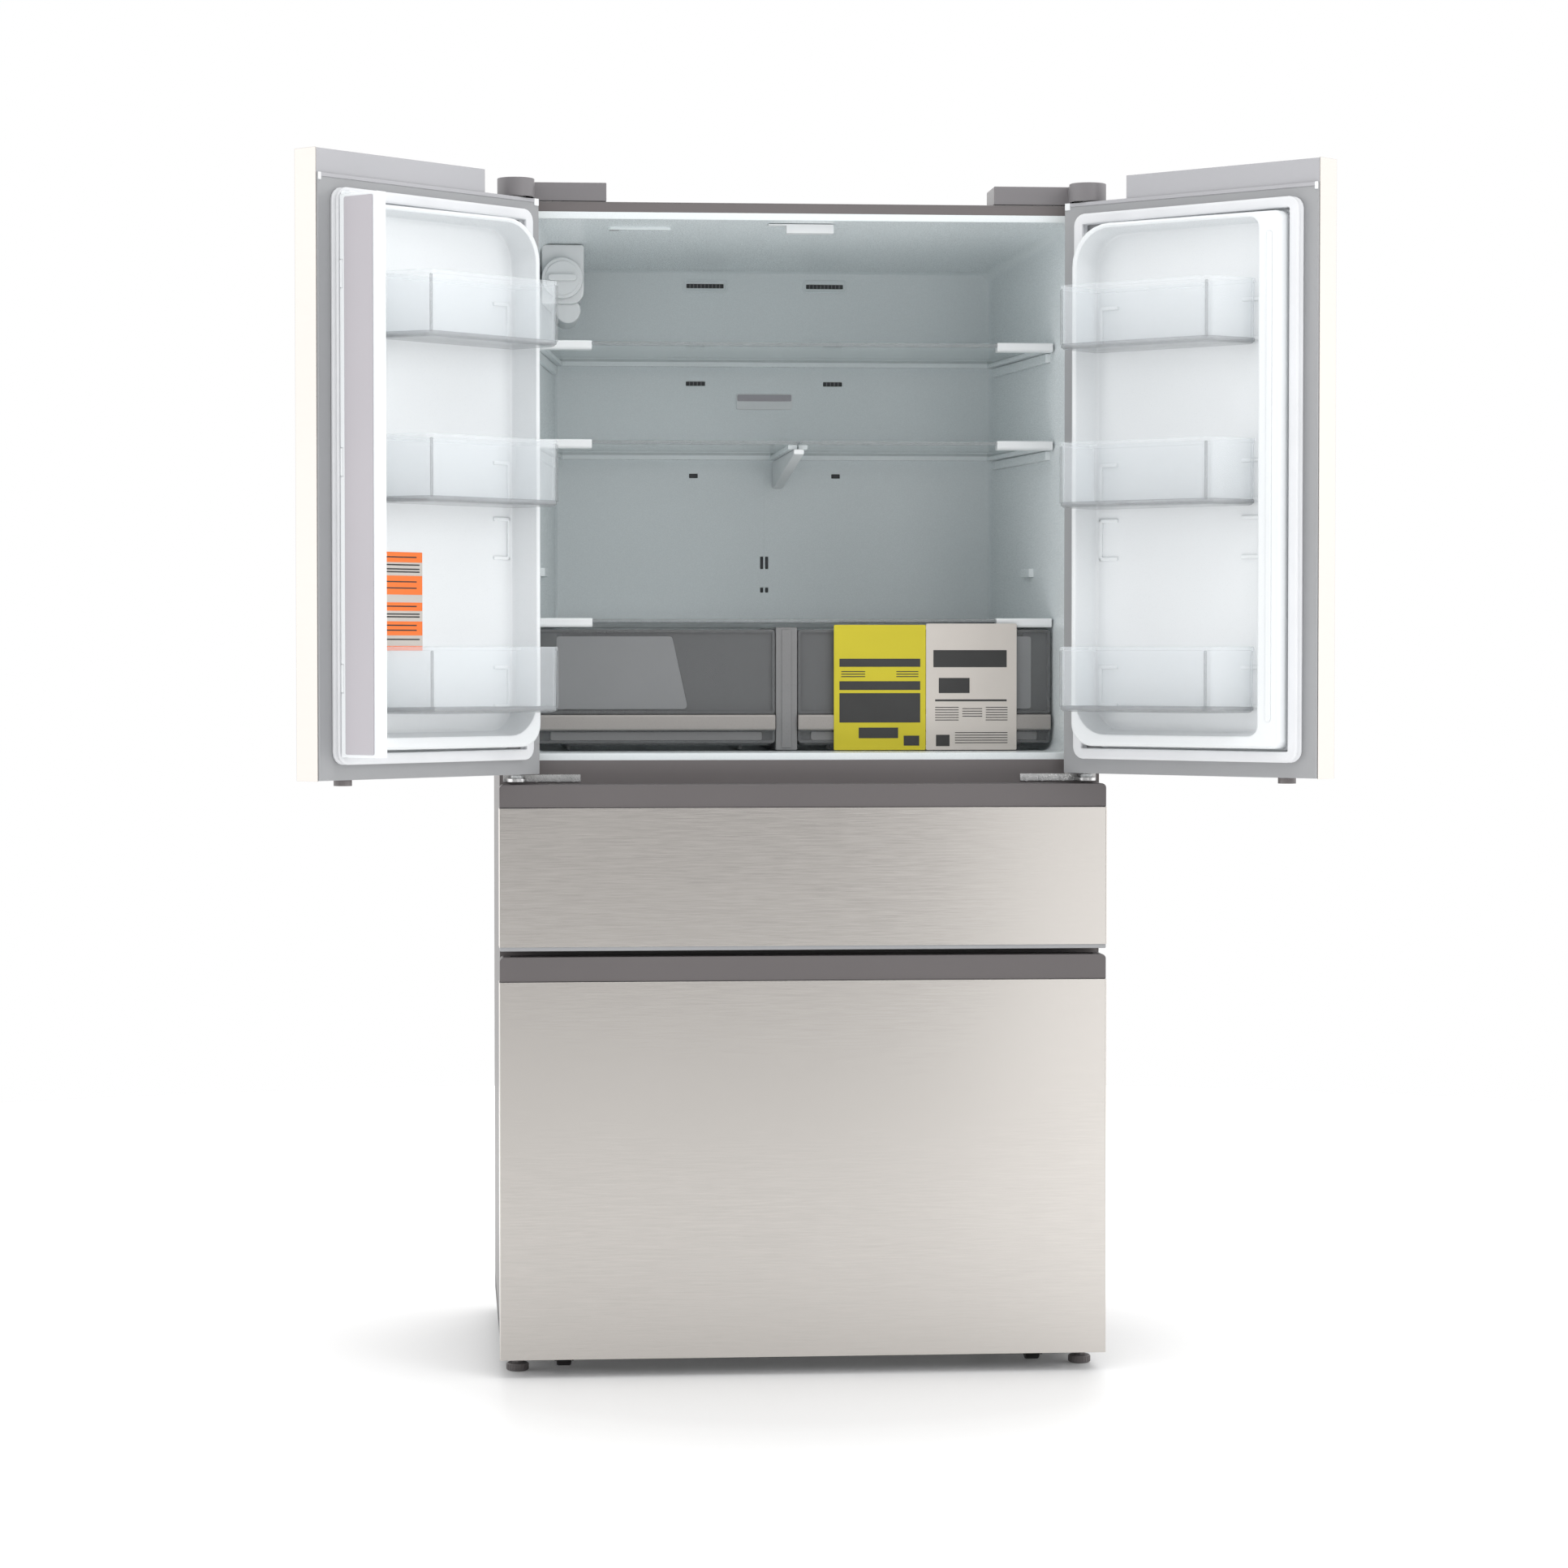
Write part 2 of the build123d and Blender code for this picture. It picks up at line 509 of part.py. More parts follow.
# ================================================================ hinges
PIVOT_TOP = CASE_TOP + 1
COVER_IN, COVER_BACK, COVER_TOP = HALF - 162.5, 150.0, HEIGHT - 6.0
with BuildPart(CASE) as top_hinges:
    for side in (-1, 1):
        x = sorted((side * (PIN_X - 70), side * (PIN_X + 15)))
        block(x, (CASE_DEPTH + 10, COVER_BACK - 12), (CASE_TOP, PIVOT_TOP + 4))
        block(sorted((side * (PIN_X - 15), side * (PIN_X + 15))), (PIN_DEPTH, CASE_DEPTH + 10), (PIVOT_TOP, PIVOT_TOP + 4))
        post(side * PIN_X, PIN_DEPTH, (PIVOT_TOP, PIVOT_TOP + 4), 15)
        post(side * PIN_X, PIN_DEPTH, (PIVOT_TOP - PIN_REACH, PIVOT_TOP + 8), PIN_R)
save(top_hinges, "top_hinges")

with BuildPart(CASE) as hinge_covers:
    for side in (-1, 1):
        for grow, floor, mode in ((0, PIVOT_TOP, Mode.ADD), (2.5, PIVOT_TOP - 9, Mode.SUBTRACT)):
            z = (floor if grow else PIVOT_TOP, COVER_TOP - grow)
            x = sorted((side * (COVER_IN + grow), side * (HALF - 4 - grow)))
            block(x, (CASE_DEPTH + 2 + grow, COVER_BACK - grow), z, mode)
            neck = sorted((side * (PIN_X - 24 + grow), side * (HALF - 4 - grow)))
            block(neck, (PIN_DEPTH, CASE_DEPTH + 6), z, mode)
            post(side * PIN_X, PIN_DEPTH, z, PIN_INSET - grow, mode)
save(hinge_covers, "hinge_covers")

BRACKET_Z = (MID_STRIP_TOP + 2.5, DOOR_BOTTOM - 1)
with BuildPart(CASE) as middle_hinges:
    for side in (-1, 1):
        x = sorted((side * (PIN_X - 95), side * (PIN_X + 20)))
        block(x, (CASE_DEPTH - 3, CASE_DEPTH), BRACKET_Z)
        arm = (BRACKET_Z[0] + 1, BRACKET_Z[0] + 6)
        block(sorted((side * (PIN_X - 14), side * (PIN_X + 14))), (PIN_DEPTH, CASE_DEPTH - 3), arm)
        post(side * PIN_X, PIN_DEPTH, arm, 14)
        post(side * PIN_X, PIN_DEPTH, (arm[0], DOOR_BOTTOM + PIN_REACH), PIN_R)
        post(side * PIN_X, PIN_DEPTH, (arm[1], DOOR_BOTTOM - GAP), PIN_R + 3)
save(middle_hinges, "middle_hinges")

# ================================================================ doors, built on the left one
# Their own frame: X along the door from the pin, Y across it from the pin, heights as in the case.
CAP_B = CAP_BACK - PIN_DEPTH


def door_outline(height, grow, back):
    """The plan of a door, rounded at its two front corners."""
    with BuildSketch(DOOR.offset(height)) as plan:
        with BuildLine():
            left, right, front = SIDE_A + grow, FREE_A - grow, FACE_B + grow
            corner, nose = DOOR_CORNER - grow, 2.5 - grow
            Line((left, back), (left, front + corner))
            RadiusArc((left, front + corner), (left + corner, front), -corner)
            Line((left + corner, front), (right - nose, front))
            RadiusArc((right - nose, front), (right, front + nose), -nose)
            Line((right, front + nose), (right, back))
            Line((right, back), (left, back))
        make_face()
    return plan.sketch


with BuildPart(DOOR) as door_skin:
    extrude(door_outline(DOOR_BOTTOM, 0, CAP_B), amount=HEIGHT - DOOR_BOTTOM)
    extrude(door_outline(DOOR_BOTTOM, SHEET, CAP_B + 1), amount=HEIGHT - DOOR_BOTTOM, mode=Mode.SUBTRACT)
    block((SIDE_A - 1, CAP_START), (FACE_B - 1, CAP_B + 1), (CASE_TOP, HEIGHT + 1), Mode.SUBTRACT)
save_both(door_skin, "door_skin")

SKIN = SHEET + 0.05
PAN_TOP = CASE_TOP - 0.5
with BuildPart(DOOR) as door_pan:
    extrude(door_outline(DOOR_BOTTOM + 1, SKIN, BACK_B), amount=PAN_TOP - DOOR_BOTTOM - 1)
    extrude(door_outline(PAN_TOP, SKIN, CAP_B), amount=HEIGHT - 1 - PAN_TOP)
    block((SIDE_A - 1, CAP_START), (FACE_B - 1, CAP_B + 1), (PAN_TOP, HEIGHT), Mode.SUBTRACT)
    post(FREE_A - 62, 4, (DOOR_BOTTOM - 7.5, DOOR_BOTTOM + 1), 13)
    post(0, 0, (DOOR_BOTTOM, DOOR_BOTTOM + PIN_REACH + 3), PIN_R + PIN_FIT, Mode.SUBTRACT)
    post(0, 0, (PAN_TOP - PIN_REACH - 3, HEIGHT), PIN_R + PIN_FIT, Mode.SUBTRACT)
save_both(door_pan, "door_pan")

with BuildPart(DOOR) as door_gasket:
    ring(GASKET_A, (BACK_B, GASKET_B), GASKET_Z, GASKET_W)
save_both(door_gasket, "door_gasket")

# The liner stands inside the gasket: a plate with a raised wall all round that holds the bins.
LINER_A = (GASKET_A[0] + GASKET_W + 5, GASKET_A[1] - GASKET_W - 5)
LINER_Z = (GASKET_Z[0] + GASKET_W + 4, GASKET_Z[1] - GASKET_W - 4)
LINER_PLATE = BACK_B + 4
RIM_B = 85.0 - PIN_DEPTH
RIM_HINGE, RIM_FREE, RIM_LOW, RIM_TOP = 10.0, 36.0, 18.0, 8.0
KNUCKLE_R, KNUCKLE_PIN, KNUCKLE_H = 3.2, 1.6, 40.0
KNUCKLES = (MULLION_Z[0] + 90, (MULLION_Z[0] + MULLION_Z[1]) / 2, MULLION_Z[1] - 130)
with BuildPart(DOOR) as door_liner:
    block(LINER_A, (BACK_B, RIM_B), LINER_Z)
    fillet(door_liner.edges().filter_by(Axis(DOOR.origin, DOOR.y_dir)), 12)
    with BuildSketch(facing(DOOR, RIM_B)) as well:
        left, right = LINER_A[0] + RIM_HINGE, LINER_A[1] - RIM_FREE
        low, high = LINER_Z[0] + RIM_LOW, LINER_Z[1] - RIM_TOP
        with Locations(((left + right) / 2, (low + high) / 2)):
            RectangleRounded(right - left, high - low, 9)
    extrude(amount=RIM_B - LINER_PLATE, mode=Mode.SUBTRACT)

# The left liner carries the knuckles that the flap turns on.
with BuildPart() as other_liner:
    mirror(door_liner.part, about=Plane.YZ)
save(other_liner, "right_door_liner")
with BuildPart(DOOR) as hinged_liner:
    for low in KNUCKLES:
        knuckle = (low, low + KNUCKLE_H)
        block((LINER_A[1] - 2, MULLION_A), (MULLION_B - KNUCKLE_R, MULLION_B + KNUCKLE_R), knuckle)
        post(MULLION_A, MULLION_B, knuckle, KNUCKLE_R)
        post(MULLION_A, MULLION_B, knuckle, KNUCKLE_PIN + PIN_FIT, Mode.SUBTRACT)
    add(DOOR.location.inverse() * door_liner.part)
save(hinged_liner, "left_door_liner")

BIN_A = (LINER_A[0] + RIM_HINGE + 2.5, LINER_A[1] - RIM_FREE - 14)
BIN_FRONT_A = BIN_A[1] - 22              # the free end of a bin slants in towards its front
BIN_B = (LINER_PLATE + 1, 150.0 - PIN_DEPTH)
BIN_LEVELS = ((988.0, 95.0), (1286.0, 96.0), (1517.0, 94.0))
BIN_WALL = 2.5


def bin_outline(height, grow):
    """The plan of a door bin, smaller by a wall where grow is negative."""
    with BuildSketch(DOOR.offset(height)) as plan:
        with BuildLine():
            Polyline(
                (BIN_A[0] - grow, BIN_B[0] - grow),
                (BIN_A[1] + grow, BIN_B[0] - grow),
                (BIN_FRONT_A + grow, BIN_B[1] + grow),
                (BIN_A[0] - grow, BIN_B[1] + grow),
                close=True,
            )
        make_face()
        fillet(plan.vertices(), 6)
    return plan.sketch


with BuildPart(DOOR) as door_bins:
    for level, tall in BIN_LEVELS:
        extrude(bin_outline(level, 0), amount=tall)
    for level, tall in BIN_LEVELS:
        extrude(bin_outline(level + BIN_WALL, -BIN_WALL), amount=tall, mode=Mode.SUBTRACT)
save_both(door_bins, "door_bins")

# The flap on the left door, folded back as it is while that door is open.
FLAP_A = (MULLION_A + MULLION_FRONT - MULLION_T, MULLION_A + MULLION_FRONT)
FLAP_B = (MULLION_B - MULLION_HEEL, MULLION_B + MULLION_REACH)
PLATE_T = 1.5
with BuildPart(DOOR) as mullion_body:
    block((FLAP_A[0], FLAP_A[1] - PLATE_T), FLAP_B, MULLION_Z)
    post(MULLION_A, MULLION_B + 4, (MULLION_Z[1], CAVITY_TOP - 1.5), 4)
    for low in KNUCKLES:
        slot = (low - GAP, low + KNUCKLE_H + GAP)
        room = KNUCKLE_R + 0.5
        post(MULLION_A, MULLION_B, slot, room, Mode.SUBTRACT)
        block((FLAP_A[0] - 1, MULLION_A), (MULLION_B - room, MULLION_B + room), slot, Mode.SUBTRACT)
        post(MULLION_A, MULLION_B, slot, KNUCKLE_PIN)
save(mullion_body, "mullion_body")

with BuildPart(DOOR) as mullion_plate:
    block((FLAP_A[1] - PLATE_T, FLAP_A[1]), (FLAP_B[0] + 9, FLAP_B[1] - 8), (MULLION_Z[0] + 4, MULLION_Z[1] - 4))
save(mullion_plate, "mullion_plate")

# ================================================================ drawers


def front_outline(height, grow, back):
    """The plan of a drawer front, rounded at its two front corners."""
    with BuildSketch(CASE.offset(height)) as plan:
        with Locations((0, (grow + back) / 2)):
            Rectangle(WIDTH - 2 * grow, back - grow)
        fillet(plan.vertices().group_by(Axis.Y)[0], 2.5 - grow)
    return plan.sketch


STRIP_HALF = HALF - 1.0
POCKET = (14.0, 40.0)


def drawer_front(name, bottom, top, cap_bottom, strip_top, opening):
    """Steel front, insulated core, grip strip and gasket of one drawer."""
    with BuildPart(CASE) as skin:
        extrude(front_outline(bottom, 0, CAP_BACK), amount=top - bottom)
        extrude(front_outline(bottom, SHEET, CAP_BACK + 1), amount=top - bottom, mode=Mode.SUBTRACT)
    save(skin, f"{name}_front")
    with BuildPart(CASE) as core:
        extrude(front_outline(cap_bottom, SKIN, DOOR_BACK), amount=top - cap_bottom)
    save(core, f"{name}_core")
    with BuildPart(CASE) as strip:
        block((-STRIP_HALF, STRIP_HALF), (2, DOOR_BACK), (top + SEAT, strip_top))
        block((18 - HALF, HALF - 18), POCKET, (top + 8, strip_top), Mode.SUBTRACT)
        ends = strip.edges().filter_by(Axis.Y).group_by(Axis.Z)[-1]
        fillet(ends.sort_by(Axis.X)[0:1] + ends.sort_by(Axis.X)[-1:], 7)
    save(strip, f"{name}_strip")
    with BuildPart(CASE) as seal:
        out = GASKET_W - 0.6
        z = (opening[0] - out, opening[1] + out)
        ring((-CAVITY_HALF - out, CAVITY_HALF + out), (DOOR_BACK, CASE_DEPTH - GAP), z, GASKET_W)
    save(seal, f"{name}_gasket")


def drawer_slides(name, z, length):
    """The moving bars of one drawer's slides, bracketed to its front."""
    with BuildPart(CASE) as slides:
        for side in (-1, 1):
            outer = CAVITY_HALF - SLIDE_W - GAP
            x = sorted((side * outer, side * (outer - SLIDE_W)))
            block(x, (DOOR_BACK, DOOR_BACK + length), z)
            x = sorted((side * outer, side * (outer - SLIDE_W - 2)))
            block(x, (DOOR_BACK, DOOR_BACK + 3), (z[0] - 20, z[1] + 20))
    save(slides, f"{name}_slides")


MID_SLIDE_Z, LOWER_SLIDE_Z = (712.0, 740.0), (330.0, 360.0)
MID_SLIDE_L, LOWER_SLIDE_L = 470.0, 470.0
tub_half = CAVITY_HALF - 2 * (SLIDE_W + GAP) - 3
drawer_front("mid", MID_BOTTOM, MID_TOP, MID_CAP_BOTTOM, MID_STRIP_TOP, (MID_FLOOR, MID_CEILING))
drawer_slides("mid", MID_SLIDE_Z, MID_SLIDE_L)
with BuildPart(CASE) as mid_bin:
    tub((-tub_half, tub_half), (DOOR_BACK + 4, MID_BACK - 45), (MID_FLOOR + 14, MID_CEILING - 30), TUB_WALL)
save(mid_bin, "mid_bin")

drawer_front("lower", LOWER_BOTTOM, LOWER_TOP, LOWER_BOTTOM, LOWER_STRIP_TOP, (LOWER_FLOOR, LOWER_CEILING))
drawer_slides("lower", LOWER_SLIDE_Z, LOWER_SLIDE_L)
TUB_TOP, TUB_BACK = 415.0, STEP_DEPTH - 20
with BuildPart(CASE) as lower_bin:
    tub((-tub_half, tub_half), (DOOR_BACK + 4, TUB_BACK), (LOWER_FLOOR + 18, TUB_TOP), TUB_WALL)
save(lower_bin, "lower_bin")

# The tray over the freezer bin slides back on the bin's rim.
TRAY_BACK = 420.0
with BuildPart(CASE) as freezer_tray:
    tub((16 - tub_half, tub_half - 16), (DOOR_BACK + 26, TRAY_BACK), (TUB_TOP + 12, TUB_TOP + 130), TUB_WALL)
    for side in (-1, 1):
        x = sorted((side * (tub_half - 16), side * (tub_half - 2)))
        block(x, (DOOR_BACK + 60, TRAY_BACK - 30), (TUB_TOP + 14, TUB_TOP + 20))
        x = sorted((side * (tub_half - 5), side * (tub_half - 2)))
        block(x, (DOOR_BACK + 60, TRAY_BACK - 30), (TUB_TOP + 1, TUB_TOP + 14))
save(freezer_tray, "freezer_tray")

with BuildPart(CASE) as drawer_rails:
    for z, length in ((MID_SLIDE_Z, MID_SLIDE_L), (LOWER_SLIDE_Z, LOWER_SLIDE_L)):
        for side in (-1, 1):
            x = sorted((side * CAVITY_HALF, side * (CAVITY_HALF - SLIDE_W)))
            block(x, (CASE_DEPTH + 6, CASE_DEPTH + length), (z[0] - 5, z[1] + 5))
            lip = sorted((side * (CAVITY_HALF - 3), side * (CAVITY_HALF - SLIDE_W)))
            block(lip, (CASE_DEPTH + 6, CASE_DEPTH + length), (z[0] + 6, z[1] - 6), Mode.SUBTRACT)
save(drawer_rails, "drawer_rails")
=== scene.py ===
"""French door refrigerator: its visible pieces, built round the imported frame. Metres, +Z up."""

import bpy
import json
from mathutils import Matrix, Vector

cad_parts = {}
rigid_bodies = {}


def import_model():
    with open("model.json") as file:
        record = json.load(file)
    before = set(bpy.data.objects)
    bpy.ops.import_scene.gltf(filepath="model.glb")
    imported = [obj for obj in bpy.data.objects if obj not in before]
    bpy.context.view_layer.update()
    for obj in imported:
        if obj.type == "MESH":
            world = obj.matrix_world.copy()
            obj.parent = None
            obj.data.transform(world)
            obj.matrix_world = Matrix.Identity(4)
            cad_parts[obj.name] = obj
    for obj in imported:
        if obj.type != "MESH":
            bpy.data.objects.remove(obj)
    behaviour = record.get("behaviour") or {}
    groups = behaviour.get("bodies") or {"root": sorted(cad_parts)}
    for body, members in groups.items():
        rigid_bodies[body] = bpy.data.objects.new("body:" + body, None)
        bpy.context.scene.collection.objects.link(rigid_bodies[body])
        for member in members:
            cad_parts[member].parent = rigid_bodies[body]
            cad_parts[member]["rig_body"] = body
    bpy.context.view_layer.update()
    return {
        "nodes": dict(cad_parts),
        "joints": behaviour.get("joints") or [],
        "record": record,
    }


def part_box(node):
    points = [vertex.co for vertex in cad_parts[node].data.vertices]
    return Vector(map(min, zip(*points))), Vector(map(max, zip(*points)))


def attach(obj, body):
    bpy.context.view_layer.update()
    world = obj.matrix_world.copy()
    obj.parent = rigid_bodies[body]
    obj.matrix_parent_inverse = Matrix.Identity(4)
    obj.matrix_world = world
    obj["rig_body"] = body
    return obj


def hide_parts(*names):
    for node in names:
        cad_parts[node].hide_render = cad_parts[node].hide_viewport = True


bl_info = {
    "name": "French Door Refrigerator",
    "version": (1, 0, 0),
    "blender": (4, 5, 0),
    "location": "3D View > Sidebar > Refrigerator",
    "description": "Builds the visible pieces of a french door refrigerator around its frame",
    "category": "Object",
}

import json
import math

import bmesh
import bpy
from bpy.props import FloatProperty, FloatVectorProperty, IntProperty, PointerProperty
from mathutils import Matrix, Vector

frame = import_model()

# ---------------------------------------------------------------- where things are, from the frame
WORLD = Matrix.Identity(4)
STEEL_LOW, STEEL_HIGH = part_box("lower_front")
FRONT = STEEL_LOW.y                      # depths are measured back from the steel face
JOINTS = {joint["name"]: joint for joint in frame["joints"]}


def door_space():
    """Along the left door from its pin, across it from face to back, and up."""
    swing = JOINTS["left_door_swing"]
    angle = math.radians(-swing["range_deg"][0])
    along = Vector((math.cos(angle), -math.sin(angle), 0))
    across = Vector((math.sin(angle), math.cos(angle), 0))
    pin = Vector((swing["pos_m"][0], swing["pos_m"][1], 0))
    return Matrix(
        (
            (along.x, across.x, 0, pin.x),
            (along.y, across.y, 0, pin.y),
            (0, 0, 1, 0),
            (0, 0, 0, 1),
        )
    )


LEFT = door_space()
RIGHT = Matrix.Scale(-1, 4, (1, 0, 0)) @ LEFT
DOORS = {"left": LEFT, "right": RIGHT}


def extent(points):
    """Lowest and highest corner of some points."""
    low = Vector([min(p[i] for p in points) for i in range(3)])
    high = Vector([max(p[i] for p in points) for i in range(3)])
    return low, high


def reach(node, space=WORLD):
    """Lowest and highest corner of a frame node, measured in a door's space."""
    back = space.inverted()
    return extent([back @ v.co for v in frame["nodes"][node].data.vertices])


def solids(node, space=WORLD):
    """The boxes of a frame node's separate solids, from the bottom up and from the left."""
    shape = bmesh.new()
    shape.from_mesh(frame["nodes"][node].data)
    shape.transform(space.inverted())
    bmesh.ops.remove_doubles(shape, verts=shape.verts, dist=1e-6)
    left, boxes = set(shape.verts), []
    while left:
        todo, found = [left.pop()], []
        while todo:
            here = todo.pop()
            found.append(here.co.copy())
            beside = {e.other_vert(here) for e in here.link_edges} & left
            left -= beside
            todo.extend(beside)
        boxes.append(extent(found))
    shape.free()
    return sorted(boxes, key=lambda b: (round(b[0].z, 3), b[0].x))


# ---------------------------------------------------------------- what a user would change
def length(name, description, default):
    """A length that a user may set."""
    return FloatProperty(
        name=name, description=description, default=default, unit="LENGTH", precision=4
    )


def share(name, description, default):
    """A share from none to all."""
    return FloatProperty(
        name=name, description=description, default=default, min=0, max=1, subtype="FACTOR"
    )


def colour(name, description, default):
    """A colour that a user may set."""
    return FloatVectorProperty(
        name=name, description=description, default=default, size=3, min=0, max=1, subtype="COLOR"
    )


def count(name, description, default):
    """A whole number of like parts."""
    return IntProperty(name=name, description=description, default=default, min=1, max=200)


def amount(name, description, default, subtype="NONE"):
    """A plain number, angle or focal length that a user may set."""
    return FloatProperty(name=name, description=description, default=default, subtype=subtype)


class FridgeSizes(bpy.types.PropertyGroup):
    steel_edge: length("Steel edge", "Rounding of folded steel edges", 0.0007)
    liner_wall: length("Liner wall", "Thickness of the moulded liners", 0.0025)
    opening_lip: length("Opening lip", "White edge of the liner round the opening", 0.0107)
    wall_taper: length("Wall taper", "How much each side wall closes in towards the back", 0.056)
    ceiling_fall: length("Ceiling fall", "How much the ceiling falls towards the back", 0.029)
    liner_corner: length("Liner corner", "Radius of the corners of the fresh food space", 0.014)
    bin_wall: length("Bin wall", "Thickness of the clear door bins", 0.0025)
    bin_slant: length("Bin slant", "How much the free end of a bin slants in", 0.022)
    glass: length("Glass", "Thickness of the shelf glass", 0.005)
    bracket: length("Shelf bracket", "Length of the white bracket at each end of a shelf", 0.086)
    gasket_waist: share("Gasket waist", "How far the gasket narrows behind its magnet", 0.34)
    screw_radius: length("Screw radius", "Radius of the screw heads", 0.0052)
    screw_height: length("Screw height", "Height of the screw heads", 0.003)
    vent_bars: count("Vent bars", "Louvre bars in each wide vent", 9)
    fins: count("Fins", "Fins of the condenser", 56)
    tread: count("Tread ribs", "Ribs round each roller and foot", 24)


class FridgeFinishes(bpy.types.PropertyGroup):
    steel: colour("Steel", "Brushed steel of the doors and drawers", (0.555, 0.528, 0.500))
    steel_roughness: share("Steel roughness", "How dull the brushed steel is", 0.20)
    trim: colour("Trim", "Front of the cabinet and feet", (0.150, 0.136, 0.136))
    strip: colour("Grip strips", "Recessed grips above the drawer fronts", (0.120, 0.109, 0.110))
    hinge: colour("Hinge covers", "Moulded hinge covers", (0.195, 0.186, 0.193))
    case: colour("Case", "Painted sides and top of the cabinet", (0.20, 0.19, 0.188))
    pan: colour("Door back", "Painted back of the doors", (0.33, 0.335, 0.345))
    cap: colour("Door cap", "Raised cap along the top of the doors", (0.41, 0.41, 0.43))
    liner: colour("Door liner", "Moulded white of the doors", (0.80, 0.825, 0.84))
    inside: colour("Inside", "Moulded white of the fresh food space", (0.80, 0.85, 0.865))
    bracket: colour("Bracket", "White shelf brackets and trims", (0.80, 0.82, 0.83))
    gasket: colour("Gasket", "Soft vinyl of the gaskets", (0.74, 0.75, 0.77))
    flap: colour("Flap plate", "Plate on the flap between the doors", (0.44, 0.42, 0.45))
    clear: colour("Clear", "Clear moulded plastic", (0.86, 0.90, 0.93))
    smoke: colour("Smoke", "Smoky plastic of the crispers", (0.20, 0.205, 0.21))
    glass: colour("Glass", "Faint green of the shelf glass", (0.72, 0.80, 0.80))
    grip: colour("Crisper grip", "Grip bar of the crispers", (0.33, 0.31, 0.295))
    divider: colour("Crisper divider", "Wall between the crispers", (0.215, 0.215, 0.218))
    yellow: colour("Yellow card", "Yellow information card", (0.58, 0.50, 0.016))
    paper: colour("Pale card", "Pale information card", (0.60, 0.56, 0.52))
    orange: colour("Sticker", "Orange bands of the door sticker", (0.95, 0.20, 0.03))
    ink: colour("Ink", "Printing on the cards", (0.03, 0.03, 0.03))


class FridgeStage(bpy.types.PropertyGroup):
    lens: amount("Lens", "Focal length of the camera", 94.28, "DISTANCE_CAMERA")
    stand: length("Stand", "How far the camera stands in front of the steel face", 6.056)
    side: length("Side", "How far the camera stands to the right", -0.537)
    height: length("Height", "Height of the camera", 1.071)
    yaw: amount("Yaw", "Turn of the camera to the right", math.radians(4.776), "ANGLE")
    pitch: amount("Pitch", "Tilt of the camera down", math.radians(1.798), "ANGLE")
    floor: colour("Floor", "Plain pale floor", (0.90, 0.90, 0.90))
    front_light: amount("Front light", "Soft light from behind the camera", 0.36)
    side_light: amount("Side light", "Soft panel to the right of the camera", 1.42)
    side_slope: amount("Side slope", "Where the light from the right begins", 0.137)
    strip_light: amount("Strip lights", "Bright strips on both sides", 1.9)
    back_light: amount("Back light", "Soft light from above and behind", 1.0)


def sizes():
    """The sizes a user has set."""
    return bpy.context.scene.fridge_sizes


# ---------------------------------------------------------------- outlines
def rounded(points, radii, steps=6):
    """A polygon with an arc at each corner, as flat points."""
    result = []
    for i, radius in enumerate(radii):
        here = Vector(points[i])
        before = (Vector(points[i - 1]) - here).normalized()
        after = (Vector(points[(i + 1) % len(points)]) - here).normalized()
        half = before.angle(after) / 2
        centre = here + (before + after).normalized() * (radius / math.sin(half))
        start = here + before * (radius / math.tan(half)) - centre
        end = here + after * (radius / math.tan(half)) - centre
        sweep = start.angle(end)
        for step in range(steps + 1):
            part = sweep * step / steps
            arm = (start * math.sin(sweep - part) + end * math.sin(part)) / math.sin(sweep)
            result.append(centre + arm)
    return result


def rectangle(low, high, radii, steps=6):
    """A rectangle with arcs at its corners, from the lower left anticlockwise."""
    corners = ((low[0], low[1]), (high[0], low[1]), (high[0], high[1]), (low[0], high[1]))
    if not isinstance(radii, (tuple, list)):
        radii = (radii,) * 4
    return rounded(corners, radii, steps)


def shrunk(outline, by):
    """The same outline drawn in by a distance all round."""
    pairs = list(zip(outline, outline[1:] + outline[:1]))
    turn = 1 if sum(a.x * b.y - b.x * a.y for a, b in pairs) > 0 else -1
    normals = [Vector((a.y - b.y, b.x - a.x)).normalized() * turn for a, b in pairs]
    result = []
    for i, point in enumerate(outline):
        one, other = normals[i - 1], normals[i]
        result.append(point + (one + other) * (by / (1 + one.dot(other))))
    return result


def placed(axis, outline, height):
    """A flat outline stood across an axis at a height along it."""
    if axis == "x":
        return [Vector((height, p.x, p.y)) for p in outline]
    if axis == "y":
        return [Vector((p.x, height, p.y)) for p in outline]
    return [Vector((p.x, p.y, height)) for p in outline]


def layers(axis, outline, steps):
    """An outline drawn in by a distance at each height along an axis."""
    return [placed(axis, shrunk(outline, inset), height) for inset, height in steps]


# ---------------------------------------------------------------- closed parts of a shape
BEVEL = dict(segments=2, profile=0.5, affect="EDGES")
MOST_BEVEL = 0.45                        # of a part's smallest side
RIM_ANGLE = math.radians(50)             # of the edges a bar's rims have
SHARP_ANGLE = math.radians(30)           # of the edges that a folded part has rounded
FLAT_ANGLE = math.radians(0.5)           # of faces that are one flat face
SMOOTH_ANGLE = math.radians(34)          # of faces that are shaded as one


def add_part(shape, part, finish=0):
    """Adds a closed part to a shape, its faces turned outwards."""
    if part.calc_volume(signed=True) < 0:
        bmesh.ops.reverse_faces(part, faces=part.faces)
    if finish is not None:
        for face in part.faces:
            face.material_index = finish
    mesh = bpy.data.meshes.new("part")
    part.to_mesh(mesh)
    part.free()
    shape.from_mesh(mesh)
    bpy.data.meshes.remove(mesh)


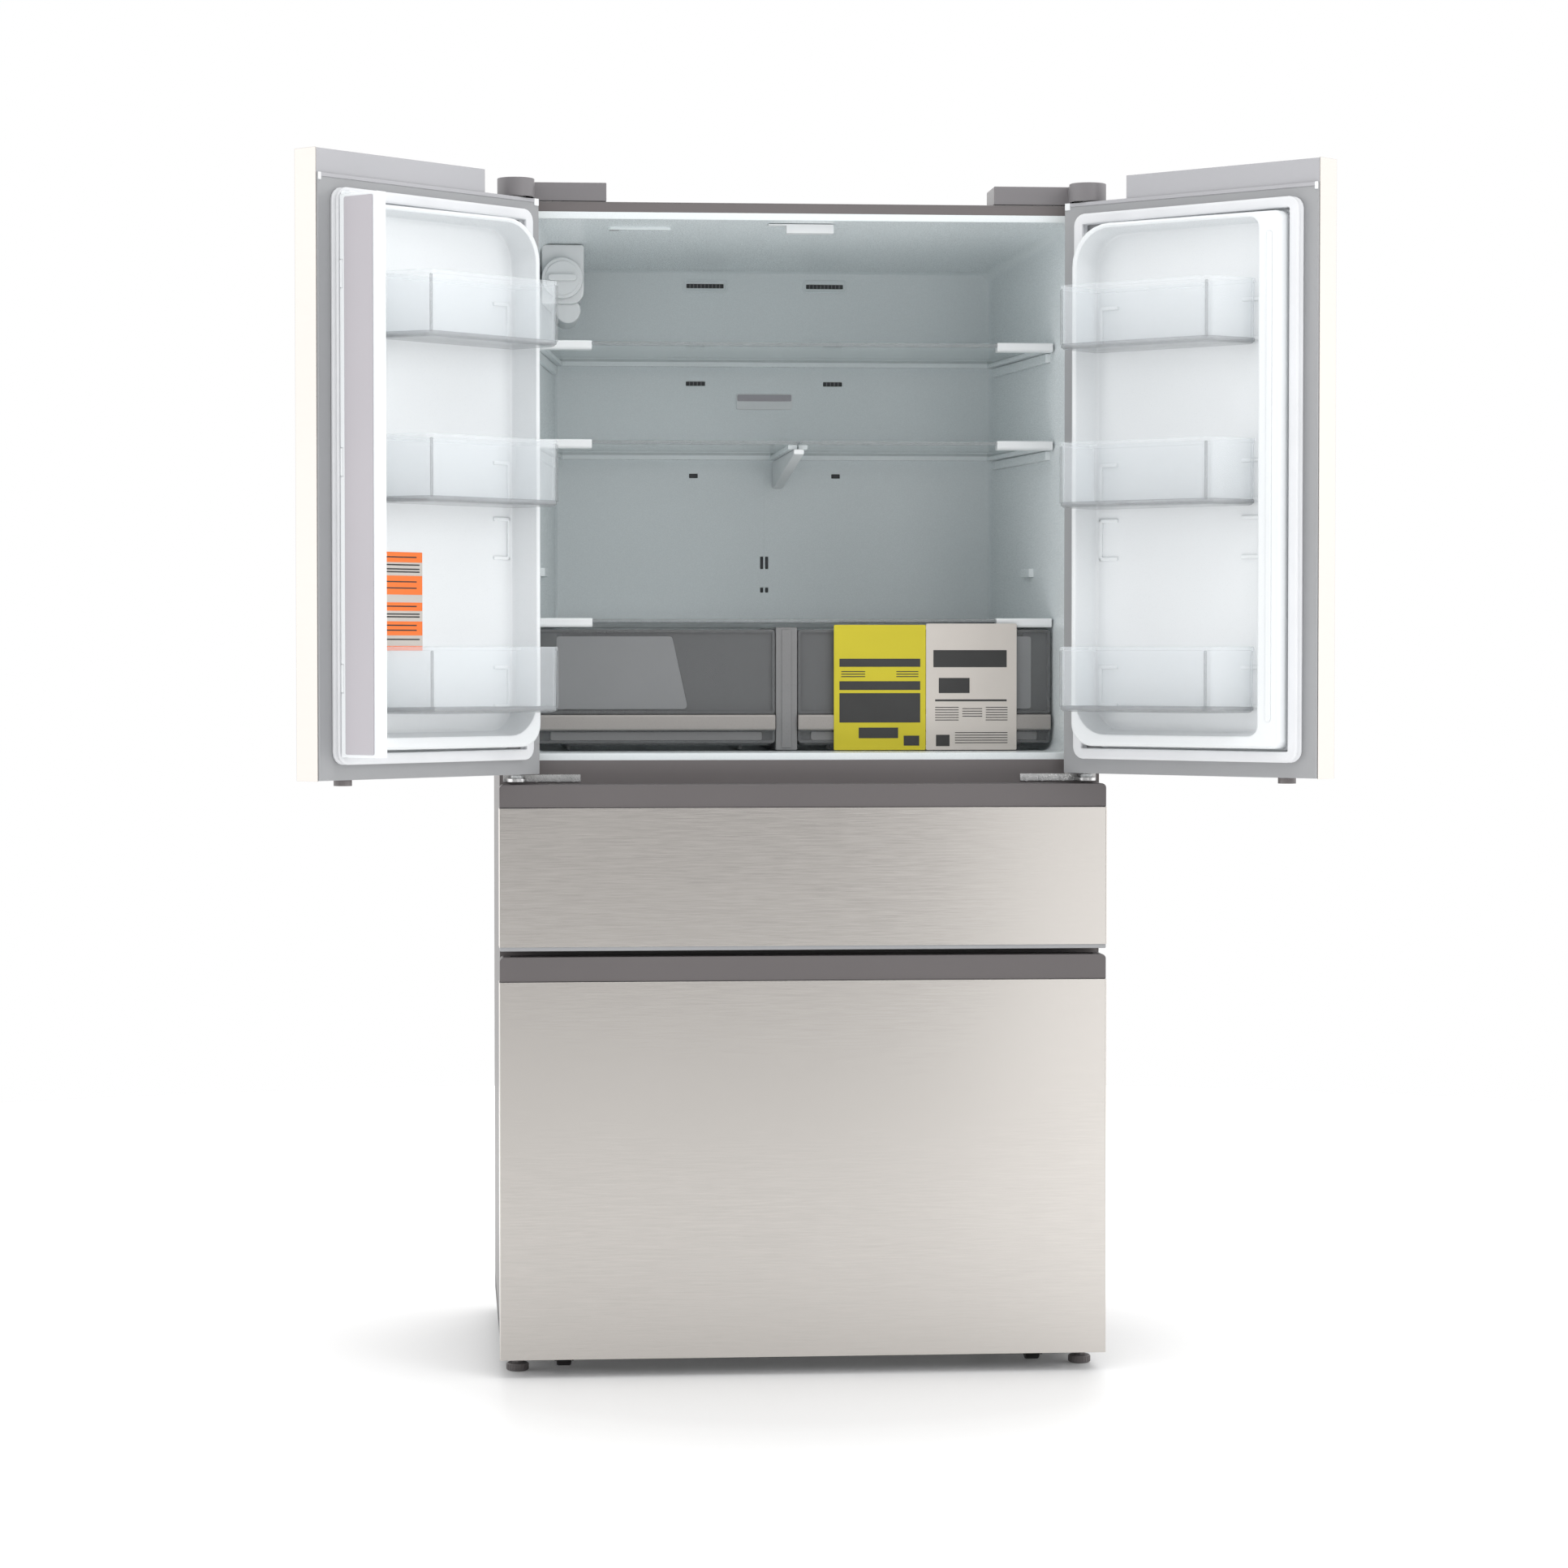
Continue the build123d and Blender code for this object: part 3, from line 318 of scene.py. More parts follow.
def block(shape, low, high, edge=0.001, finish=0, segments=2):
    """A block with rounded edges."""
    low, high = Vector(low), Vector(high)
    size = high - low
    part = bmesh.new()
    place = Matrix.Translation((low + high) / 2) @ Matrix.Diagonal((*size, 1))
    bmesh.ops.create_cube(part, size=1, matrix=place)
    edge = min(edge, MOST_BEVEL * min(size))
    bmesh.ops.bevel(part, geom=part.edges, offset=edge, **dict(BEVEL, segments=segments))
    add_part(shape, part, finish)


def bar(shape, start, end, radius, edge=0.0005, finish=0, sides=32):
    """A round bar from one point to another, with eased rims."""
    start, end = Vector(start), Vector(end)
    run = end - start
    part = bmesh.new()
    place = Matrix.Translation((start + end) / 2) @ run.to_track_quat("Z", "Y").to_matrix().to_4x4()
    ends = dict(radius1=radius, radius2=radius, cap_ends=True)
    bmesh.ops.create_cone(part, segments=sides, depth=run.length, matrix=place, **ends)
    rims = [e for e in part.edges if e.calc_face_angle(0) > RIM_ANGLE]
    edge = min(edge, MOST_BEVEL * min(run.length, radius))
    bmesh.ops.bevel(part, geom=rims, offset=edge, **BEVEL)
    add_part(shape, part, finish)


def loft(shape, loops, finish=0, ring=False, bands=None):
    """Joins loops of points one after another, capped at both ends or closed into a ring."""
    part = bmesh.new()
    rows = [[part.verts.new(p) for p in loop] for loop in loops]
    pairs = list(zip(rows, rows[1:]))
    if ring:
        pairs.append((rows[-1], rows[0]))
    for level, (one, other) in enumerate(pairs):
        for i in range(len(one)):
            j = (i + 1) % len(one)
            face = part.faces.new((one[i], one[j], other[j], other[i]))
            face.material_index = bands[level] if bands else finish
    if not ring:
        for row, level in ((rows[0][::-1], 0), (rows[-1], -1)):
            face = part.faces.new(row)
            face.material_index = bands[level] if bands else finish
    add_part(shape, part, None)


def prism(shape, outline, axis, low, high, edge=0.001, finish=0):
    """An outline carried along an axis, with both rims rounded."""
    steps = [(edge, low), (0.3 * edge, low + 0.3 * edge), (0, low + edge)]
    steps += [(0, high - edge), (0.3 * edge, high - 0.3 * edge), (edge, high)]
    loft(shape, layers(axis, outline, steps), finish)


def tub(shape, outline, low, high, wall, finish=0, base=0, lip=0.0015):
    """An open container: a drafted wall, a rolled lip and a rounded floor."""
    steps = [
        (lip + 0.006, low, base),
        (lip + 0.0025, low + 0.001, base),
        (lip + 0.001, low + 0.0035, finish),
        (lip, high - 0.006, finish),
        (0, high - 0.005, finish),
        (0, high - 0.0008, finish),
        (0.0006, high, finish),
        (wall + 0.0006, high, finish),
        (wall + lip, high - 0.0008, finish),
        (wall + lip + 0.001, low + wall + 0.004, base),
        (wall + lip + 0.003, low + wall + 0.001, base),
        (wall + lip + 0.006, low + wall, base),
    ]
    bands = [band for _, _, band in steps]
    loft(shape, layers("z", outline, [step[:2] for step in steps]), bands=bands)


def softened(node, edge):
    """A copy of a frame node's mesh, merged into clean faces, with its sharp edges rounded."""
    shape = bmesh.new()
    shape.from_mesh(frame["nodes"][node].data)
    bmesh.ops.remove_doubles(shape, verts=shape.verts, dist=1e-6)
    bmesh.ops.dissolve_limit(
        shape,
        angle_limit=FLAT_ANGLE,
        use_dissolve_boundaries=False,
        verts=shape.verts,
        edges=shape.edges,
    )
    sharp = [e for e in shape.edges if e.calc_face_angle(0) > SHARP_ANGLE]
    bmesh.ops.bevel(shape, geom=sharp, offset=edge, clamp_overlap=True, **BEVEL)
    for face in shape.faces:
        face.material_index = 0
    return shape


# ---------------------------------------------------------------- finished pieces
def finish_mesh(mesh, finishes):
    """Gives a mesh its finishes, unless a tree has set them, and its shading."""
    if not mesh.materials:
        for name in finishes:
            mesh.materials.append(finish(name))
    mesh.shade_smooth()
    mesh.set_sharp_from_angle(angle=SMOOTH_ANGLE)


def link_piece(name, mesh, body, stands_for=()):
    """A finished piece that rides on its body."""
    piece = bpy.data.objects.new(name, mesh)
    bpy.context.scene.collection.objects.link(piece)
    even = piece.modifiers.new("Even shading", "WEIGHTED_NORMAL")
    even.keep_sharp = True
    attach(piece, body)
    if stands_for:
        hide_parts(*stands_for)
    return piece


def face_outwards(shape, space):
    """Moves a shape from a door's space into its place, its faces still outwards."""
    shape.transform(space)
    if space.determinant() < 0:
        bmesh.ops.reverse_faces(shape, faces=shape.faces)


def make_piece(
    name, shape, finishes, body="cabinet", slot="white_liner", stands_for=(), space=WORLD
):
    """Turns a shape into a piece, moved from a door's space into its place."""
    bmesh.ops.remove_doubles(shape, verts=shape.verts, dist=1e-7)
    face_outwards(shape, space)
    if not shape.faces:
        raise RuntimeError(f"{name} came out empty")
    mesh = bpy.data.meshes.new(name)
    shape.to_mesh(mesh)
    shape.free()
    finish_mesh(mesh, finishes)
    return link_piece(name, mesh, body, stands_for)


def body_of(node):
    """The body that a frame node rides on."""
    return frame["nodes"][node]["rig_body"]


SLOT_OF = {part["node"]: part["material_slot"] for part in frame["record"]["subparts"]}


def soften_piece(node, name, finish_name, edge):
    """A frame node's own shape with rounded edges, in its place."""
    shape = softened(node, edge)
    return make_piece(name, shape, [finish_name], body_of(node), SLOT_OF[node], [node])


# ---------------------------------------------------------------- geometry nodes
def new_tree(name, inputs):
    """A geometry node tree with named inputs, and its group input and output nodes."""
    tree = bpy.data.node_groups.new(name, "GeometryNodeTree")
    tree.interface.new_socket("Geometry", in_out="INPUT", socket_type="NodeSocketGeometry")
    tree.interface.new_socket("Geometry", in_out="OUTPUT", socket_type="NodeSocketGeometry")
    for label, kind in inputs:
        tree.interface.new_socket(label, in_out="INPUT", socket_type=f"NodeSocket{kind}")
    return tree, tree.nodes.new("NodeGroupInput").outputs, tree.nodes.new("NodeGroupOutput").inputs


def add_node(tree, kind, settings=(), **inputs):
    """A node with its settings, and inputs that are values or another node's outputs."""
    node = tree.nodes.new(kind)
    for key, value in dict(settings).items():
        setattr(node, key, value)
    for key, value in inputs.items():
        numbered = key[0] == "i" and key[1:].isdigit()
        socket = node.inputs[int(key[1:]) if numbered else key.replace("_", " ")]
        if isinstance(value, bpy.types.NodeSocket):
            tree.links.new(value, socket)
        else:
            socket.default_value = value
    return node


def end_tree(tree, geometry, given, out):
    """Realizes instances, sets the material and ends the tree."""
    real = add_node(tree, "GeometryNodeRealizeInstances", Geometry=geometry)
    inputs = dict(Geometry=real.outputs[0], Material=given["Finish"])
    made = add_node(tree, "GeometryNodeSetMaterial", **inputs)
    tree.links.new(made.outputs[0], out[0])
    return tree


def maths(tree, operation, *values):
    """The result of one sum in a tree."""
    given = {f"i{place}": value for place, value in enumerate(values)}
    return add_node(tree, "ShaderNodeMath", {"operation": operation}, **given).outputs[0]


def stood(tree, points, shape, **turn):
    """A shape stood on each point."""
    inputs = dict(Points=points, Instance=shape, **turn)
    return add_node(tree, "GeometryNodeInstanceOnPoints", **inputs).outputs[0]


def turned(tree, axis, way):
    """A turn that points an axis along a direction."""
    kind = "FunctionNodeAlignRotationToVector"
    return add_node(tree, kind, {"axis": axis}, Vector=way).outputs[0]


def screw_tree():
    """Screw heads with a washer and a driver recess, standing along each point's facing."""
    inputs = (("Radius", "Float"), ("Height", "Float"), ("Finish", "Material"))
    tree, given, out = new_tree("Screw heads", inputs)
    radius, height = given["Radius"], given["Height"]
    cylinder, extrude = "GeometryNodeMeshCylinder", "GeometryNodeExtrudeMesh"
    washer_depth = maths(tree, "MULTIPLY", height, 0.5)
    washer = add_node(tree, cylinder, Vertices=20, Radius=radius, Depth=washer_depth)
    head_radius = maths(tree, "MULTIPLY", radius, 0.66)
    head_depth = maths(tree, "MULTIPLY", height, 1.6)
    head = add_node(tree, cylinder, Vertices=12, Radius=head_radius, Depth=head_depth).outputs
    top = dict(Mesh=head["Mesh"], Selection=head["Top"])
    face = add_node(tree, extrude, Offset_Scale=0.0, **top).outputs
    inner = add_node(
        tree, "GeometryNodeScaleElements", Geometry=face["Mesh"], Selection=face["Top"], Scale=0.55
    ).outputs[0]
    sunk = maths(tree, "MULTIPLY", height, -0.7)
    recess = add_node(tree, extrude, Mesh=inner, Selection=face["Top"], Offset_Scale=sunk)
    joined = tree.nodes.new("GeometryNodeJoinGeometry")
    for part in (washer, recess):
        tree.links.new(part.outputs["Mesh"], joined.inputs[0])
    attribute = "GeometryNodeInputNamedAttribute"
    facing = add_node(tree, attribute, {"data_type": "FLOAT_VECTOR"}, Name="facing").outputs[0]
    turn = turned(tree, "Z", facing)
    heads = stood(tree, given["Geometry"], joined.outputs[0], Rotation=turn)
    return end_tree(tree, heads, given, out)


def row_tree():
    """A row of like bars."""
    inputs = (("Count", "Int"), ("Start", "Vector"), ("Step", "Vector"), ("Bar", "Vector"))
    tree, given, out = new_tree("Row of bars", (*inputs, ("Finish", "Material")))
    line = add_node(
        tree,
        "GeometryNodeMeshLine",
        {"mode": "OFFSET"},
        Count=given["Count"],
        Start_Location=given["Start"],
        Offset=given["Step"],
    )
    cube = add_node(tree, "GeometryNodeMeshCube", Size=given["Bar"])
    return end_tree(tree, stood(tree, line.outputs[0], cube.outputs[0]), given, out)


def rim_tree():
    """Ribs round a rim, each turned outwards."""
    inputs = (("Count", "Int"), ("Radius", "Float"), ("Bar", "Vector"), ("Finish", "Material"))
    tree, given, out = new_tree("Ribs round a rim", inputs)
    circle = add_node(
        tree, "GeometryNodeMeshCircle", Vertices=given["Count"], Radius=given["Radius"]
    )
    cube = add_node(tree, "GeometryNodeMeshCube", Size=given["Bar"])
    turn = turned(tree, "X", tree.nodes.new("GeometryNodeInputPosition").outputs[0])
    bars = stood(tree, circle.outputs[0], cube.outputs[0], Rotation=turn)
    return end_tree(tree, bars, given, out)


def filleted(tree, curve, radius, steps):
    """A curve with arcs at its corners."""
    bent = add_node(tree, "GeometryNodeFilletCurve", Curve=curve, Radius=radius)
    set_choice(bent, "Poly")
    bent.inputs["Count"].default_value = steps
    return bent.outputs[0]


def gasket_tree():
    """A gasket along a closed path: a foot, a waist of soft bellows and a magnet bulb."""
    inputs = (("Width", "Float"), ("Depth", "Float"), ("Waist", "Float"), ("Corner", "Float"))
    tree, given, out = new_tree("Gasket", (*inputs, ("Finish", "Material")))
    width, depth = given["Width"], given["Depth"]
    path = add_node(tree, "GeometryNodeMeshToCurve", Mesh=given["Geometry"])
    bent = filleted(tree, path.outputs[0], given["Corner"], 4)
    upright = add_node(tree, "GeometryNodeSetCurveNormal", Curve=bent)
    set_choice(upright, "Z Up")
    section = add_node(tree, "GeometryNodeCurvePrimitiveQuadrilateral", Width=width, Height=depth)
    eased = filleted(tree, section.outputs[0], maths(tree, "MULTIPLY", width, 0.16), 2)
    even = add_node(tree, "GeometryNodeResampleCurve", Curve=eased, Count=36)
    place = tree.nodes.new("GeometryNodeInputPosition")
    x, y, _ = add_node(tree, "ShaderNodeSeparateXYZ", i0=place.outputs[0]).outputs
    turn = maths(tree, "MULTIPLY", maths(tree, "DIVIDE", y, depth), 2 * math.pi)
    soft = maths(tree, "MAXIMUM", maths(tree, "COSINE", turn), 0.0)
    keep = maths(tree, "SUBTRACT", 1.0, maths(tree, "MULTIPLY", soft, given["Waist"]))
    across = maths(tree, "MULTIPLY", x, keep)
    moved = add_node(tree, "ShaderNodeCombineXYZ", X=across, Y=y, Z=0.0).outputs[0]
    waisted = add_node(tree, "GeometryNodeSetPosition", Geometry=even.outputs[0], Position=moved)
    swept = add_node(
        tree,
        "GeometryNodeCurveToMesh",
        Curve=upright.outputs[0],
        Profile_Curve=waisted.outputs[0],
    )
    return end_tree(tree, swept.outputs[0], given, out)


def set_choice(node, label):
    """Sets a node's way of working, which is a property of the node or a menu input."""
    if "Mode" in node.inputs:
        node.inputs["Mode"].default_value = label
    else:
        node.mode = label.upper().replace(" ", "_")


TREES = {}


def grown(name, maker, base, **inputs):
    """Runs a tree on a base mesh and returns what it makes as a plain mesh."""
    if maker not in TREES:
        TREES[maker] = maker()
    tree = TREES[maker]
    holder = bpy.data.objects.new(name, base)
    bpy.context.scene.collection.objects.link(holder)
    modifier = holder.modifiers.new(name, "NODES")
    modifier.node_group = tree
    for item in tree.interface.items_tree:
        if item.in_out == "INPUT" and item.name in inputs:
            modifier[item.identifier] = inputs[item.name]
    ready = holder.evaluated_get(bpy.context.evaluated_depsgraph_get())
    mesh = bpy.data.meshes.new_from_object(ready)
    bpy.data.objects.remove(holder)
    if not mesh.polygons:
        raise RuntimeError(f"{name} came out empty")
    return mesh


def points_mesh(places, facings):
    """Points that each know which way they face."""
    mesh = bpy.data.meshes.new("points")
    mesh.from_pydata([tuple(p) for p in places], [], [])
    facing = mesh.attributes.new("facing", "FLOAT_VECTOR", "POINT")
    for item, way in zip(facing.data, facings):
        item.vector = way
    return mesh


def grown_piece(name, mesh, finish_name, body, stands_for=(), space=WORLD):
    """A mesh that a tree made, as a piece in its place."""
    mesh.transform(space)
    if space.determinant() < 0:
        mesh.flip_normals()
    finish_mesh(mesh, [finish_name])
    mesh.name = name
    return link_piece(name, mesh, body, stands_for)


def screws(name, places, facing, finish_name="zinc"):
    """Screw heads on the cabinet, all facing the same way."""
    s = sizes()
    base = points_mesh(places, [facing] * len(places))
    head = dict(Radius=s.screw_radius, Height=s.screw_height, Finish=finish(finish_name))
    mesh = grown(name, screw_tree, base, **head)
    return grown_piece(name, mesh, finish_name, "cabinet")


def row(name, number, start, step, size, finish_name, body="cabinet", slot="white_liner"):
    """A row of like bars, as one piece."""
    base = bpy.data.meshes.new("row")
    bars = dict(Count=number, Start=start, Step=step, Bar=size, Finish=finish(finish_name))
    mesh = grown(name, row_tree, base, **bars)
    return grown_piece(name, mesh, finish_name, body)


def ribs(name, radius, size, finish_name, body, space):
    """Ribs round the rim of a foot or a roller."""
    base = bpy.data.meshes.new("rim")
    rim = dict(Count=sizes().tread, Radius=radius, Bar=size, Finish=finish(finish_name))
    mesh = grown(name, rim_tree, base, **rim)
    return grown_piece(name, mesh, finish_name, body, space=space)


# ---------------------------------------------------------------- finishes
def coloured(name, colour_value, roughness, metallic=0.0, specular=0.5, coat=0.0):
    """A material with its plain values set on the shader's own sockets."""
    material = bpy.data.materials.new(name)
    material.use_nodes = True
    shader = material.node_tree.nodes["Principled BSDF"]
    shader.inputs["Base Color"].default_value = (*colour_value, 1)
    shader.inputs["Roughness"].default_value = roughness
    shader.inputs["Metallic"].default_value = metallic
    shader.inputs["Specular IOR Level"].default_value = specular
    shader.inputs["Coat Weight"].default_value = coat
    shader.inputs["Coat Roughness"].default_value = 0.15
    return material, shader


def ranged(tree, value, *ends):
    """A value carried from one range to another."""
    given = {f"i{place}": end for place, end in enumerate(ends, 1)}
    return add_node(tree, "ShaderNodeMapRange", Value=value, **given).outputs[0]


def surfaced(
    name,
    colour_value,
    roughness,
    grain=500.0,
    bump=0.05,
    stretch=(1, 1, 1),
    mottle=0.03,
    patches=5.0,
    spread=0.05,
    **plain,
):
    """A finish with a fine grain in its relief and gloss, and faint patches in its colour."""
    material, shader = coloured(name, colour_value, roughness, **plain)
    tree = material.node_tree
    place = tree.nodes.new("ShaderNodeTexCoord").outputs["Object"]
    mapped = add_node(tree, "ShaderNodeMapping", Vector=place, Scale=stretch).outputs[0]
    noise = "ShaderNodeTexNoise"
    fine = add_node(tree, noise, Vector=mapped, Scale=grain, Detail=3.0).outputs[0]
    broad = add_node(tree, noise, Vector=place, Scale=patches, Detail=2.0).outputs[0]
    relief = add_node(tree, "ShaderNodeBump", Height=fine, Strength=bump, Distance=GRAIN_HEIGHT)
    gloss = ranged(tree, fine, 0.3, 0.7, roughness - spread, roughness + spread)
    tint = add_node(tree, "ShaderNodeMix", {"data_type": "RGBA"}, i0=ranged(tree, broad, 0.3, 0.7))
    tint.inputs[6].default_value = (*[c * (1 - mottle) for c in colour_value], 1)
    tint.inputs[7].default_value = (*[min(1, c * (1 + mottle)) for c in colour_value], 1)
    tree.links.new(tint.outputs[2], shader.inputs["Base Color"])
    tree.links.new(relief.outputs[0], shader.inputs["Normal"])
    tree.links.new(gloss, shader.inputs["Roughness"])
    return material


def see_through(name, colour_value, roughness, face_on, edge_on, grain=14.0, bump=0.004):
    """A clear finish that shows more where it is seen edge on."""
    plain = dict(grain=grain, bump=bump, spread=0.02, specular=0.6)
    material = surfaced(name, colour_value, roughness, **plain)
    tree = material.node_tree
    weight = add_node(tree, "ShaderNodeLayerWeight", Blend=0.35).outputs["Facing"]
    alpha = ranged(tree, weight, 0.0, 1.0, face_on, edge_on)
    tree.links.new(alpha, tree.nodes["Principled BSDF"].inputs["Alpha"])
    return material


def brushed(name, colour_value, roughness):
    """Steel brushed across: reflections spread up and down and stay closer together sideways."""
    strokes = dict(grain=26.0, bump=0.02, stretch=(1, 1, 46), mottle=0.02, patches=1.6, spread=0.03)
    material = surfaced(name, colour_value, roughness, metallic=1.0, **strokes)
    tree = material.node_tree
    shader = tree.nodes["Principled BSDF"]
    shader.inputs["Anisotropic"].default_value = 0.92
    up = add_node(tree, "ShaderNodeCombineXYZ", X=0.0, Y=0.0, Z=1.0)
    tree.links.new(up.outputs[0], shader.inputs["Tangent"])
    return material


GRAIN_HEIGHT = 0.0004
PLASTIC = dict(grain=900.0, bump=0.06, spread=0.04)
FINE_TRIM = dict(grain=1100.0, bump=0.10, patches=3.0, mottle=0.04)
CARD = dict(grain=2500.0, bump=0.05, patches=14.0, mottle=0.02)

# finishes in the user's own colours: roughness and surface
SURFACES = {
    "trim": (0.42, FINE_TRIM),
    "strip": (0.42, FINE_TRIM),
    "hinge": (0.42, FINE_TRIM),
    "case": (0.45, dict(grain=620.0, bump=0.22, patches=2.0, mottle=0.04)),
    "pan": (0.42, dict(grain=1000.0, bump=0.08, patches=3.0, mottle=0.03)),
    "cap": (0.40, dict(grain=1000.0, bump=0.06, patches=3.0, mottle=0.02)),
    "liner": (0.30, dict(PLASTIC, patches=3.0, mottle=0.015)),
    "inside": (0.27, dict(PLASTIC, patches=2.0, mottle=0.02)),
    "bracket": (0.34, dict(PLASTIC, patches=8.0, mottle=0.02)),
    "gasket": (0.55, dict(grain=300.0, bump=0.10, patches=12.0, mottle=0.03)),
    "flap": (0.38, dict(grain=1200.0, bump=0.08, patches=4.0, mottle=0.02)),
    "grip": (0.30, dict(PLASTIC, patches=6.0, mottle=0.02)),
    "divider": (0.30, dict(PLASTIC, patches=6.0, mottle=0.03)),
    "yellow": (0.55, CARD),
    "paper": (0.60, CARD),
    "orange": (0.45, dict(CARD, bump=0.04, mottle=0.03)),
    "ink": (0.55, dict(CARD, bump=0.04, patches=20.0, mottle=0.10)),
}

# finishes with a colour of their own: colour, roughness and surface
PLAIN_SURFACES = {
    # painted shade: the near-black blocks behind the air panel's vents and holes
    "shadow": ((0.07, 0.072, 0.076), 0.6, dict(grain=800.0, bump=0.05, patches=9.0, mottle=0.1)),
    "black": ((0.035, 0.034, 0.034), 0.48, dict(grain=700.0, bump=0.15, patches=9.0, mottle=0.1)),
    "enamel": (
        (0.02, 0.02, 0.021),
        0.25,
        dict(grain=350.0, bump=0.08, patches=7.0, mottle=0.1, coat=0.3),
    ),
    "zinc": (
        (0.60, 0.60, 0.60),
        0.30,
        dict(grain=420.0, bump=0.06, patches=40.0, mottle=0.10, spread=0.08, metallic=1.0),
    ),
    "galvanised": (
        (0.44, 0.45, 0.46),
        0.44,
        dict(grain=260.0, bump=0.03, patches=42.0, mottle=0.05, metallic=0.8),
    ),
    "fins": (
        (0.62, 0.63, 0.64),
        0.36,
        dict(grain=600.0, bump=0.05, patches=20.0, mottle=0.06, metallic=1.0),
    ),
    "foam": ((0.72, 0.60, 0.34), 0.85, dict(grain=260.0, bump=0.5, patches=8.0, mottle=0.08)),
}

# clear finishes: the user's colour, its strength, roughness, how much shows face on and edge on
CLEARS = {
    "clear": ("clear", 1.0, 0.07, 0.045, 0.60, {}),
    "clear_edge": ("clear", 0.42, 0.12, 0.26, 0.75, {}),
    "smoke": ("smoke", 1.0, 0.16, 0.50, 0.88, {}),
    "window": ("smoke", 1.55, 0.14, 0.72, 0.90, {}),
    "glass": ("glass", 1.0, 0.05, 0.10, 0.55, dict(grain=8.0, bump=0.01)),
    "glass_edge": ("glass", 0.5, 0.12, 0.55, 0.90, {}),
}


def make_finish(name):
    """Makes a finish from the tables above, or the steel or the floor."""
    colours = bpy.context.scene.fridge_finishes
    if name == "steel":
        return brushed(name, colours.steel, colours.steel_roughness)
    if name == "floor":
        pale = bpy.context.scene.fridge_stage.floor
        return surfaced(name, pale, 0.42, grain=90.0, bump=0.01, patches=1.0, mottle=0.01)
    if name in CLEARS:
        shared, strength, roughness, face_on, edge_on, surface = CLEARS[name]
        tint = [c * strength for c in getattr(colours, shared)]
        return see_through(name, tint, roughness, face_on, edge_on, **surface)
    if name in SURFACES:
        roughness, surface = SURFACES[name]
        return surfaced(name, getattr(colours, name), roughness, **surface)
    own_colour, roughness, surface = PLAIN_SURFACES[name]
    return surfaced(name, own_colour, roughness, **surface)


def finish(name):
    """A finish by its name, made the first time it is asked for."""
    return bpy.data.materials.get(name) or make_finish(name)


SLOT_FINISH = {
    "stainless": "steel",
    "dark_trim": "trim",
    "grey_case": "case",
    "galvanised_steel": "galvanised",
    "foam": "foam",
    "white_liner": "inside",
    "gasket_rubber": "gasket",
    "clear_plastic": "clear",
    "smoky_plastic": "smoke",
    "shelf_glass": "glass",
    "mullion_metal": "flap",
    "white_bracket": "bracket",
    "zinc_slides": "zinc",
    "black_enamel": "enamel",
    "aluminium_fins": "fins",
    "black_plastic": "black",
}


# ---------------------------------------------------------------- the fresh food space
LINER_LOW, LINER_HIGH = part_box("fridge_liner")
MOUTH = LINER_LOW.y                      # the front of the liner
WALL_BACK = LINER_HIGH.y                 # its outside, at the back
CASE_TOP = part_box("case_shell")[1].z


def closing(depth):
    """How far the walls have closed in at a depth, from 0 at the mouth to 1 at the back wall."""
    return (depth - MOUTH) / (WALL_BACK - sizes().liner_wall - MOUTH)


def wall_at(depth):
    """Half the width of the fresh food space at a depth."""
    return LINER_HIGH.x - sizes().opening_lip - sizes().wall_taper * closing(depth)


def ceiling_at(depth):
    """Height of the ceiling at a depth."""
    return LINER_HIGH.z - sizes().opening_lip - sizes().ceiling_fall * closing(depth)


def floor_level():
    """Height of the floor of the fresh food space."""
    return LINER_LOW.z + sizes().opening_lip


def space_outline(depth, inset, radius):
    """Outline of the fresh food space at a depth, drawn in from its walls."""
    half = wall_at(depth) - inset
    return rectangle((-half, floor_level() + inset), (half, ceiling_at(depth) - inset), radius)


# ---------------------------------------------------------------- the stage
# name, place, target, width and height, and power
LAMPS = (
    ("Key", (3.2, FRONT - 4.2, 2.9), (0.1, FRONT, 0.9), (1.6, 2.0), 34.0),
    ("Top", (0.2, FRONT - 2.0, 4.3), (0.0, FRONT - 0.2, 0.8), (2.6, 1.8), 26.0),
    ("Back", (0.6, 3.4, 2.9), (0.0, 0.3, 0.9), (2.4, 1.8), 30.0),
)
FLOOR_RADIUS = 4.0
FLOOR_FADE = (0.55, 1.9, 0.05, 0.60)     # where the glow starts and ends, and its strengths
LOW_LIGHT = 2.7                          # how much brighter the front light is close to the floor
CLEAR_LAYERS = 48                        # how many clear surfaces light may pass


